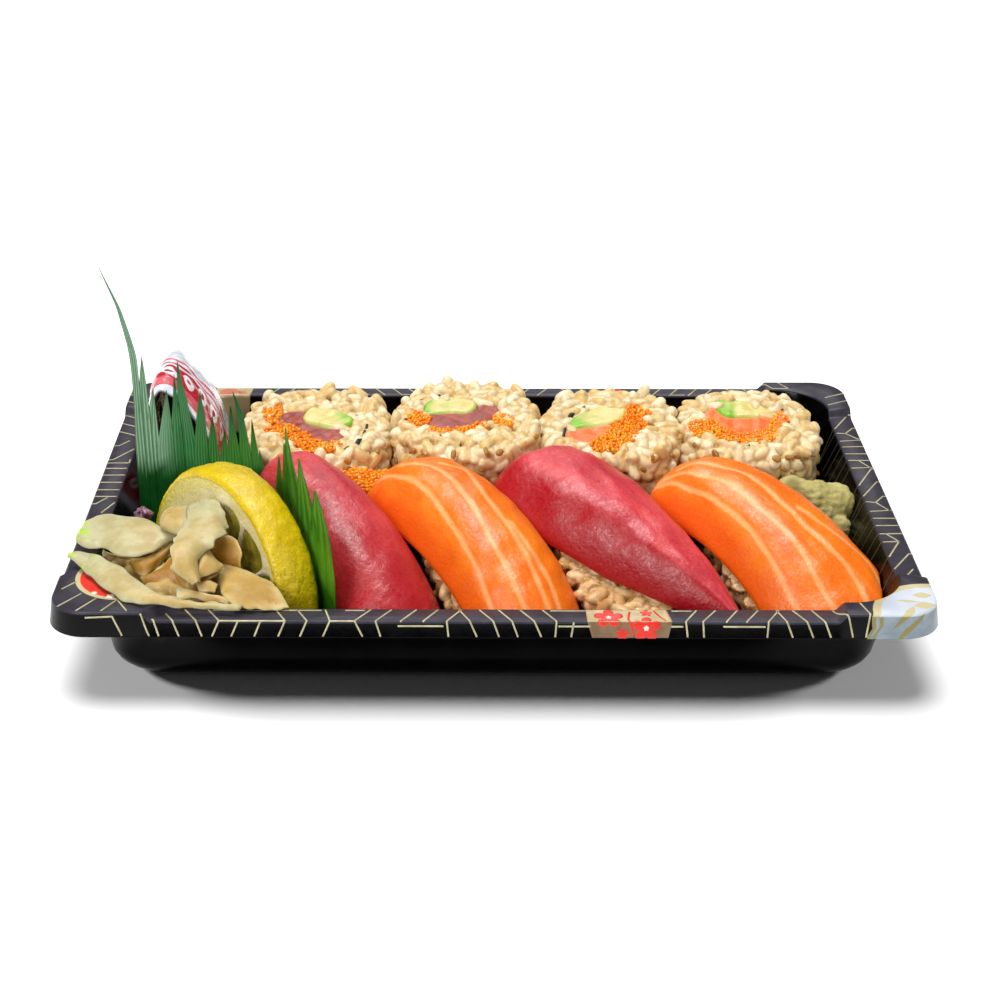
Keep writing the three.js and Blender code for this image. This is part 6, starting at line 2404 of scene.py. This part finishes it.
# ---------------------------------------------------------------- sachet, wasabi, roe and pickle
@dataclass
class Sachet:
    """A sauce sachet folded over, its ridge running from front to back."""

    front: float = 9.0
    back: float = 37.0
    ridge: Station = (-88.6, 47.5)      # in x and z, as are the feet
    left_foot: Station = (-91.8, 3.4)
    right_foot: Station = (-71.8, 1.7)
    thickness: float = 3.4
    seal: float = 0.7

    def path(self, steps: int) -> Array:
        """Gives the fold's line in x and z."""
        left, right, ridge = self.left_foot, self.right_foot, self.ridge
        knots = (
            left, (left[0] - 1.4, 17.0), (left[0] - 0.8, ridge[1] - 9), ridge, (-79.4, ridge[1] - 10),
            (right[0] - 3.6, ridge[1] - 21), right,
        )
        return curve_through(knots, steps)

    def build(self) -> None:
        """Builds the folded film with its crinkles and the marks for its print."""
        steps, columns = 220, 90
        path = self.path(steps)
        run = np.linalg.norm(np.diff(path, axis=0), axis=1)
        along = np.concatenate([[0.0], np.cumsum(run)])
        tangent = unit(np.gradient(path, axis=0))
        share = along / along[-1]
        v = np.linspace(0, 1, columns)
        plump = np.sin(math.pi * share)[:, None] ** 0.5 * np.sin(math.pi * v)[None, :] ** 0.8
        half = (self.seal + (self.thickness - self.seal) * plump) / 2
        y = self.front + (self.back - self.front) * v
        base = np.stack(np.broadcast_arrays(path[:, None, 0], y[None, :], path[:, None, 1]), axis=-1)
        normal = np.stack([-tangent[:, 1], np.zeros(steps), tangent[:, 0]], axis=-1)[:, None, :]
        crinkle = 0.35 * bumps(base, 7.0, 91) + 0.15 * bumps(base, 2.5, 92)
        low = np.clip((base[..., 2] - 4.0) / 6.0, 0, 1)
        base = base + normal * (crinkle * low)[..., None]
        film = np.zeros(base.shape)
        film[..., 0] = along[:, None]
        film[..., 1] = y[None, :] - self.front
        upper, lower = base + normal * half[..., None], base - normal * half[..., None]
        shape = Shape.sheet(upper, lower)
        count = steps * columns
        shape.marks["film"] = np.vstack([film.reshape(-1, 3), film.reshape(-1, 3)])
        shape.marks["inside"] = np.concatenate([np.zeros(count), np.full(count, 0.9)])
        shape.piece("sauce_sachet_pack", FILM, "film", "sauce_sachet")


@dataclass
class Lump:
    """A soft ball that a paste or a clump is built from."""

    centre: Triple
    reach: Triple


@dataclass
class Heap:
    """A small heap made of lumps grown together."""

    lumps: tuple[Lump, ...]
    voxel: float
    seed: int
    fine: float
    coarse: float

    def shape(self) -> Shape:
        """Grows the lumps together, roughens the skin, sets it on the floor and marks its hollows for painted
        shade.
        """
        parts = []
        for lump in self.lumps:
            shape = ball(20, 30)
            parts.append(Shape(shape.points * np.array(lump.reach) + np.array(lump.centre), shape.faces))
        points, normals, faces = grown(Shape.joined(parts), self.voxel, 6)
        rough = self.coarse * bumps(points, 4.5, self.seed) + self.fine * bumps(points, 1.5, self.seed + 1)
        rough += self.fine * 0.7 * np.abs(bumps(points, 0.9, self.seed + 2))
        points += normals * rough[:, None]
        points[:, 2] = np.maximum(points[:, 2], FLOOR)
        # painted shade: the third colour grows in the skin's hollows
        shade = np.clip(0.35 - rough * 1.2, 0, 1)
        return Shape(points, faces, {"shade": shade})


@dataclass
class Garnish:
    """Wasabi, the clump of roe between fish and rolls, and the purple pickle on the ginger."""

    def build_wasabi(self) -> None:
        """Builds the two-lobed lump of wasabi."""
        heap = Heap((
            Lump((88.5, 2.0, 11.5), (10.6, 7.8, 12.4)), Lump((83.0, 3.5, 18.6), (6.4, 5.2, 5.8)),
            Lump((94.0, 1.5, 16.5), (5.6, 5.6, 6.8)), Lump((95.0, -4.6, 9.6), (4.4, 4.0, 7.4)),
        ), voxel=0.5, seed=601, fine=0.16, coarse=0.5)
        heap.shape().piece("wasabi_paste", WASABI, "wasabi", "wasabi")

    def build_roe(self) -> None:
        """Builds the clump of roe: a heart with eggs all over it."""
        heap = Heap((
            Lump((-35.5, 3.5, 13.0), (13.4, 7.4, 13.4)), Lump((-42.0, 3.0, 21.6), (5.0, 4.4, 4.6)),
            Lump((-29.0, 4.0, 21.0), (6.0, 4.6, 4.8)),
        ), voxel=0.6, seed=611, fine=0.1, coarse=0.4)
        heart = heap.shape()
        random = np.random.default_rng(612)
        order = random.permutation(len(heart.points))
        order = order[heart.points[order, 2] > 6.0]
        picked = order[scattered(heart.points[order], 0.85, 1400)]
        beads = eggs(heart.points[picked], (0.5, 0.7), 8, random)
        Shape.joined([heart, beads]).piece("roe_clump_eggs", ROE, "roe", "roe_clump")

    def build_pickle(self) -> None:
        """Builds the wrinkled bit of purple pickle."""
        shape = ball(26, 30)
        points = shape.points * np.array([2.3, 1.7, 1.9])
        points += unit(points) * (0.3 * bumps(points, 1.6, 621))[:, None]
        points += np.array([-90.0, -24.2, 27.4])
        shade = np.clip(0.3 + 0.5 * bumps(points, 1.5, 622), 0, 1)
        Shape(points, shape.faces, {"shade": shade}).piece("pickle_bit_lump", PICKLE, "pickle", "pickle_bit")

    def build(self) -> None:
        """Builds all three."""
        self.build_wasabi()
        self.build_roe()
        self.build_pickle()


# ---------------------------------------------------------------- the food, piece by piece
FISH = (
    FishSlice(
        "tuna_slice_1", Food.TUNA, peak=(-54, -5, 35), heading=31, back=12, front=60, left=(11, 10, 11),
        right=(13, 18, 18), ends=(23, 11), side_drop=(13, 11), thickness=7.5, seed=21, front_dark=0.75,
    ),
    FishSlice(
        "salmon_slice_1", Food.SALMON, peak=(-17, -7, 34.5), heading=28, back=14, front=56, left=(19, 11, 9),
        right=(11, 19, 20), ends=(23, 11), side_drop=(12, 9), thickness=7.0, seed=22,
        fat_lines=(
            (
                (0.1, 0.183), (0.208, 0.233), (0.342, 0.25), (0.475, 0.217), (0.6, 0.183), (0.733, 0.167),
                (0.842, 0.133),
            ),
            (
                (0.142, 0.333), (0.25, 0.467), (0.367, 0.467), (0.517, 0.417), (0.683, 0.367),
                (0.792, 0.367), (0.858, 0.35),
            ),
            ((0.225, 0.583), (0.3, 0.7), (0.458, 0.6), (0.617, 0.583), (0.767, 0.583), (0.858, 0.567)),
            ((0.625, 0.617), (0.742, 0.65), (0.85, 0.683)),
        ),
    ),
    FishSlice(
        "tuna_slice_2", Food.TUNA, peak=(17, -1, 35.5), heading=36, back=12, front=67, left=(22, 13.5, -7),
        right=(15, 16, 10), ends=(23, 11), side_drop=(12, 9), thickness=7.5, seed=23, band=0.28,
        front_dark=0.3,
    ),
    FishSlice(
        "salmon_slice_2", Food.SALMON, peak=(58, -8, 35), heading=30, back=14, front=56, left=(18, 11, 12),
        right=(11, 21, 23), ends=(23, 11), side_drop=(12, 9), thickness=7.0, seed=24,
        fat_lines=(
            ((0.067, 0.15), (0.3, 0.167), (0.492, 0.183), (0.642, 0.167), (0.783, 0.15), (0.85, 0.15)),
            (
                (0.075, 0.183), (0.208, 0.267), (0.358, 0.333), (0.517, 0.333), (0.7, 0.367), (0.817, 0.35),
                (0.908, 0.35),
            ),
            ((0.125, 0.3), (0.275, 0.5), (0.417, 0.533), (0.583, 0.517), (0.75, 0.583), (0.842, 0.633)),
            ((0.567, 0.6), (0.692, 0.733), (0.8, 0.85)),
        ),
        lift=10.0,
    ),
)
RICE_PLACES = ((-34, -29, 27), (-1, -31, 26), (30, -25, 22), (74, -32, 26))

ROLLS = (
    Roll(
        1, x=-48.2, y=26.5, radius=21.1, top=30.6,
        fillings=(
            Filling(Food.AVOCADO, (
                (
                    (-4.6, 2.1), (-3.1, 6.8), (0.8, 7.6), (5.7, 5.6), (10.1, 1.8), (9.3, -1.7), (5.0, -3.8),
                    (0.2, -2.2), (-3.4, -0.3),
                ),
            )),
            Filling(Food.TUNA, (
                (
                    (-13.1, 0.3), (-11.0, 4.4), (-7.5, 5.6), (-3.9, 5.0), (-3.5, -0.3), (0.8, -2.9),
                    (5.0, -4.3), (9.7, -2.2), (8.8, -7.7), (5.5, -12.2), (2.0, -12.8), (-4.8, -6.6),
                ),
            )),
            Filling(Food.ROE, (
                (
                    (-14.8, -3.2), (-13.0, -0.3), (-8.7, -2.3), (-4.2, -6.6), (2.0, -12.2), (6.3, -11.6),
                    (6.2, -14.4), (1.7, -16.4), (-3.0, -15.4), (-6.9, -10.6), (-11.8, -7.8),
                ),
                ((-15.6, 5.0), (-13.2, 9.1), (-11.2, 6.8), (-11.1, 2.0), (-13.6, 0.3)),
            )),
        ),
        nori=(((10.6, 3.3), (13.7, 0.4), (13.4, -6.5), (11.9, -11.1), (8.3, -15.5)),), green_side=1,
    ),
    Roll(
        2, x=-6.6, y=28.0, radius=21.0, top=32.2,
        fillings=(
            Filling(Food.AVOCADO, (
                (
                    (-12.2, 3.4), (-10.8, 7.0), (-6.6, 9.4), (-0.6, 8.8), (3.0, 7.0), (2.7, 2.9), (0, 0.5),
                    (-5.9, 0.5), (-10.1, -0.7), (-11.9, 0.4),
                ),
            )),
            Filling(Food.TUNA, (
                (
                    (-12.6, -6.0), (-11.3, -0.7), (-5.9, 0.5), (0, 0.5), (2.7, 2.3), (4.8, 5.8), (9.0, 4.1),
                    (9.5, 0.5), (7.1, -3.0), (3.5, -6.1), (-3.5, -8.8), (-9.4, -9.4),
                ),
            )),
            Filling(Food.ROE, (
                (
                    (-10.6, -7.7), (-3.5, -8.8), (3.5, -5.9), (5.0, -5.3), (4.7, -8.2), (-2.3, -10.3),
                    (-8.2, -10.5),
                ),
                ((-16.1, 1.0), (-13.7, 0.4), (-10.6, -1.9), (-10.9, -5.4), (-13.5, -6.2), (-16, -3.1)),
                ((8.6, -1.8), (11.9, -1.8), (13, -4.7), (11.2, -7.2), (9.1, -6.1)),
            )),
        ),
        nori=(
            ((-17.3, 1.6), (-16.8, -3.7)), ((-13.2, 8.2), (-7.2, 11.2)), ((12.9, 5.3), (14.9, 2.3)),
            ((-9.7, -11.2), (-6.7, -12.2)),
        ),
    ),
    Roll(
        3, x=34.2, y=27.0, radius=20.1, top=30.6,
        fillings=(
            Filling(Food.AVOCADO, (
                (
                    (-11.8, -2.5), (-10.7, 1.1), (-6.8, 4.8), (-1, 8.5), (4, 9.4), (5.4, 7.3), (4, 1.2),
                    (0.8, -1.8), (-4.8, -3.3), (-10, -4),
                ),
            )),
            Filling(Food.SALMON, (
                (
                    (-12.9, -6), (-9.7, -4.2), (-4.8, -3.5), (0.7, -2.1), (-1.5, -7.7), (-4.6, -10.1),
                    (-6, -13.5), (-9.6, -12.4), (-12.2, -10.1),
                ),
            )),
            Filling(Food.ROE, (
                (
                    (5.8, 7.9), (9.4, 7.3), (11.4, 3), (9.9, -1.8), (8, -6.5), (4.2, -12.3), (-0.2, -15.8),
                    (-5, -15.2), (-6, -13), (-4.6, -10.1), (-1.5, -7.7), (0.7, -2.1), (4, 1.2),
                ),
            )),
        ),
        nori=(
            ((-12.7, -3.1), (-13.6, -8.9)), ((-11.5, 2.3), (-6.6, 7.9)), ((3.5, 10.4), (6.5, 10.0)),
            ((6.7, -11.8), (8.6, -9.2)),
        ),
    ),
    Roll(
        4, x=73.0, y=27.2, radius=19.8, top=30.8,
        fillings=(
            Filling(Food.AVOCADO, (
                (
                    (-8.7, 9.3), (-6, 11.2), (1.3, 10), (5.9, 6.9), (8.2, 3.9), (4.6, 2), (-0.9, 2),
                    (-5.8, 2), (-8, 5),
                ),
            )),
            Filling(Food.SALMON, (
                (
                    (-12, 4.4), (-8.9, 7.5), (-5.8, 2), (-1, 1.6), (4.6, 1.9), (9.1, 3.9), (10.9, 1.4),
                    (10.8, -3.3), (8.2, -6.9), (4.1, -10.4), (-1, -12.2), (-6.6, -9.3), (-10.8, -3.4),
                ),
            )),
            Filling(Food.ROE, (
                (
                    (-12.5, -2.2), (-9.3, -1), (-5.1, -6.9), (-0.4, -8.1), (4.9, -4.5), (9.8, 3.9),
                    (11, -0.4), (9.1, -6.9), (4, -11), (-1, -12.7), (-6.8, -10.4), (-11.9, -8.1),
                ),
                ((-16.1, -2.2), (-12.3, -1), (-10.9, -4.6), (-12.6, -9.3), (-16, -7)),
            )),
        ),
        nori=(
            ((-10.7, 8.1), (-11.5, 6.2)), ((-3.2, -13.4), (-1.2, -13.9)),
            ((9.1, -6.9), (11.2, -1), (10.1, 6.3)),
        ),
    ),
)

GINGER_SLICES = (
    GingerSlice(
        upper=(
            (-105.6, -34.6, 27), (-104.0, -29.3, 27.5), (-99.1, -26.1, 28.5), (-92.2, -28.7, 29),
            (-85.4, -32.1, 29), (-79.1, -37.3, 28.5),
        ),
        lower=(
            (-105.2, -36.8, 26), (-101.9, -39.4, 25.5), (-98.1, -39.4, 25.5), (-92.4, -44.3, 26),
            (-86.2, -44.2, 26), (-80.8, -37.5, 27),
        ),
        belly=1.4, ruffle=0.45, warm=(0.0, 0.3), lime=1.0,
    ),
    GingerSlice(
        upper=(
            (-98.2, -39.0, 25), (-92.6, -43.3, 25.5), (-86.4, -43.3, 25.5), (-83.0, -39.7, 26),
            (-80.6, -36.1, 26.5),
        ),
        lower=(
            (-97.8, -39.5, 22), (-93.3, -40.5, 22), (-87.3, -48.2, 22.5), (-83.9, -45.1, 23.5),
            (-81.1, -39.9, 25),
        ),
        belly=0.8, ruffle=0.4, warm=(0.45, 0.65),
    ),
    GingerSlice(
        upper=(
            (-105.7, -45.4, 27.5), (-100.6, -45.3, 28), (-93.4, -51.3, 28), (-86.8, -57.9, 27.5),
            (-81.3, -63.4, 27), (-73.7, -65.4, 26), (-60.1, -65.2, 24.5),
        ),
        lower=(
            (-104.7, -46.3, 26.5), (-100.0, -52.6, 26), (-94.7, -59.1, 25.6), (-89.2, -64.0, 25.2),
            (-83.6, -66.2, 25), (-73.5, -66.4, 24.2), (-61.0, -66.0, 23.2),
        ),
        belly=1.0, ruffle=0.4, warm=(0.05, 0.35), lime=0.7,
    ),
    GingerSlice(
        upper=(
            (-76.6, -33.0, 35), (-76.1, -42.3, 35), (-77.3, -47.5, 34), (-78.3, -55.9, 33),
            (-76.3, -60.3, 31), (-72.3, -62.0, 28),
        ),
        lower=(
            (-68.7, -32.5, 35), (-65.5, -43.9, 34), (-67.5, -51.4, 34), (-70.0, -53.9, 33),
            (-71.3, -56.5, 31), (-70.8, -61.1, 28),
        ),
        belly=1.8, ruffle=0.7, warm=(0.12, 0.5), frill=0.4,
    ),
    GingerSlice(
        upper=((-84.0, -33.9, 30), (-83.0, -32.0, 32), (-79.0, -30.4, 33), (-77.4, -29.7, 33)),
        lower=((-81.8, -37.5, 30), (-79.5, -41.7, 31), (-77.3, -44.6, 33), (-76.1, -40.4, 34)), belly=1.2,
        ruffle=0.7, warm=(0.3, 0.35),
    ),
    GingerSlice(
        upper=((-69.2, -46.3, 31), (-66.7, -44.7, 32), (-63.4, -44.8, 31), (-61.8, -48.1, 29)),
        lower=((-70.1, -46.3, 28), (-68.1, -48.0, 26), (-64.8, -48.7, 25), (-62.2, -48.8, 24)), belly=0.8,
        ruffle=0.3, warm=(1.0, 0.75),
    ),
    GingerSlice(
        upper=(
            (-71.0, -48.2, 32), (-68.5, -51.7, 31), (-65.8, -53.9, 29), (-67.3, -54.6, 27),
            (-69.8, -57.1, 26),
        ),
        lower=(
            (-71.5, -54.1, 31), (-71.6, -57.6, 30), (-71.8, -58.7, 28), (-71.7, -56.6, 26),
            (-70.9, -56.8, 25),
        ),
        belly=1.0, ruffle=0.4, warm=(0.35, 0.7),
    ),
    GingerSlice(
        upper=((-87.2, -51.3, 24), (-82.7, -48.8, 25), (-79.7, -43.2, 26), (-77.3, -46.6, 26)),
        lower=((-85.2, -53.0, 22), (-81.1, -54.9, 22), (-76.4, -54.8, 22.5), (-72.8, -53.8, 23)), belly=0.8,
        ruffle=0.3, warm=(0.9, 0.8),
    ),
    GingerSlice(
        upper=((-76.6, -60.4, 26), (-72.6, -60.8, 26), (-67.8, -62.2, 25.5), (-63.7, -62.3, 25)),
        lower=((-76.3, -64.2, 25), (-72.4, -62.8, 24.5), (-67.8, -63.3, 24), (-63.8, -64.2, 24)), belly=0.4,
        ruffle=0.3, warm=(0.35, 0.4),
    ),
    GingerSlice(
        upper=((-72.0, -58.0, 26), (-69.3, -57.4, 27), (-66.9, -58.0, 26)),
        lower=((-71.4, -60.0, 25), (-69.5, -60.5, 25), (-67.4, -60.5, 25)), belly=0.5, ruffle=0.3,
        warm=(0.4, 0.45),
    ),
    GingerSlice(
        upper=((-66.7, -47.6, 26), (-61.7, -50.0, 25.5), (-57.2, -52.9, 25), (-54.1, -53.9, 24.5)),
        lower=((-67.7, -54.5, 24), (-63.1, -64.7, 23.5), (-56.0, -65.0, 23), (-49.2, -64.1, 22.5)),
        belly=1.2, ruffle=0.6, warm=(0.35, 0.5),
    ),
)

LEAF_STRIPS = (
    LeafStrip(
        "leaf_divider_back", start=(-93.6, 0.5), end=(-59.0, -3.8), wave=1.0,
        teeth=(
            Tooth(
                (
                    (-0.045, 36.0), (-0.03, 50.0), (-0.036, 62.0), (-0.076, 71.4), (-0.11, 77.0),
                    (-0.199, 86.0),
                ),
                (
                    (0.019, 50.0), (0.016, 56.0), (0.008, 62.0), (-0.046, 71.4), (-0.092, 77.0),
                    (-0.198, 86.0),
                ),
            ),
            Tooth(((0.0, 44.0), (0.02, 54.0), (0.048, 61.1)), ((0.078, 43.0), (0.064, 54.0), (0.05, 61.1))),
            Tooth(((0.05, 42.0), (0.085, 48.0), (0.111, 51.8)), (
                (0.135, 35.0), (0.122, 45.0), (0.113, 51.8),
            )),
            Tooth(((0.115, 34.5), (0.17, 44.0), (0.216, 51.4)), (
                (0.25, 38.0), (0.232, 46.0), (0.218, 51.4),
            )),
            Tooth(((0.22, 38.0), (0.262, 48.0), (0.287, 56.3)), (
                (0.325, 40.0), (0.306, 49.0), (0.289, 56.3),
            )),
            Tooth(((0.285, 38.0), (0.3, 47.0), (0.31, 54.0), (0.322, 60.2)), (
                (0.44, 36.0), (0.395, 47.0), (0.352, 54.5), (0.324, 60.2),
            )),
            Tooth(((0.415, 35.0), (0.455, 45.0), (0.497, 52.8)), (
                (0.53, 33.5), (0.524, 44.0), (0.499, 52.8),
            )),
            Tooth(((0.515, 33.0), (0.545, 40.0), (0.576, 45.7)), (
                (0.615, 31.5), (0.6, 39.0), (0.578, 45.7),
            )),
            Tooth(((0.605, 30.0), (0.63, 36.0), (0.661, 41.3)), (
                (0.69, 31.0), (0.676, 36.5), (0.663, 41.3),
            )),
            Tooth(((0.675, 30.0), (0.69, 39.0), (0.7, 44.0), (0.714, 48.8)), (
                (0.775, 32.0), (0.75, 39.0), (0.733, 44.0), (0.716, 48.8),
            )),
            Tooth(((0.755, 30.0), (0.768, 40.0), (0.757, 46.5), (0.736, 52.3)), (
                (0.86, 31.0), (0.828, 39.5), (0.795, 46.5), (0.738, 52.3),
            )),
            Tooth(((0.835, 28.0), (0.852, 37.0), (0.866, 44.1)), (
                (0.925, 28.0), (0.899, 36.5), (0.868, 44.1),
            )),
            Tooth(((0.9, 25.0), (0.91, 31.0), (0.918, 35.5)), ((0.985, 21.0), (0.955, 29.0), (0.92, 35.5))),
        ),
        finish=BACK_LEAF, faded_reach=0.3, band_top=30.0,
    ),
    LeafStrip(
        "leaf_divider_front", start=(-57.5, -14.5), end=(-39.8, -52), wave=0.6,
        teeth=(
            Tooth(((0.03, 24.0), (0.08, 34.0), (0.118, 41.4)), ((0.2, 26.0), (0.155, 34.5), (0.12, 41.4))),
            Tooth(((0.14, 26.0), (0.185, 38.0), (0.213, 46.8)), ((0.33, 32.0), (0.27, 40.5), (0.217, 46.8))),
            Tooth(((0.24, 30.0), (0.25, 41.0), (0.25, 51.8)), (
                (0.58, 34.0), (0.51, 41.5), (0.39, 47.2), (0.254, 51.8),
            )),
            Tooth(((0.49, 31.0), (0.53, 40.0), (0.562, 49.2)), ((0.76, 33.0), (0.67, 42.3), (0.566, 49.2))),
            Tooth(((0.67, 28.0), (0.71, 37.0), (0.746, 43.8)), ((1.05, 24.0), (0.95, 34.5), (0.75, 43.8))),
        ),
        finish=FRONT_LEAF, faded_reach=0.12, band_top=20.0,
    ),
)


def build_nigiri() -> None:
    """Builds the four slices of fish and the rice under them."""
    looks = {Food.TUNA: TUNA, Food.SALMON: SALMON}
    for number, (fish, place) in enumerate(zip(FISH, RICE_PLACES), 1):
        shape = fish.shape()
        top = fish.peak[2] - fish.thickness
        RiceBall(number, *place, top=top).build(fish.underside())
        shape.piece(f"{fish.name}_flesh", looks[fish.kind], fish.kind.value, fish.name)


def main() -> None:
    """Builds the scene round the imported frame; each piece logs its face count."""
    logging.basicConfig(level=logging.INFO, format="%(message)s")
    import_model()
    studio = Studio()
    studio.build_camera()
    studio.build_lights(studio.build_floor())
    Tray().build()
    build_nigiri()
    for roll in ROLLS:
        roll.build()
    Lemon().build()
    Ginger(GINGER_SLICES).build()
    for strip in LEAF_STRIPS:
        strip.build()
    Sachet().build()
    Garnish().build()


if __name__ == "__main__":
    main()
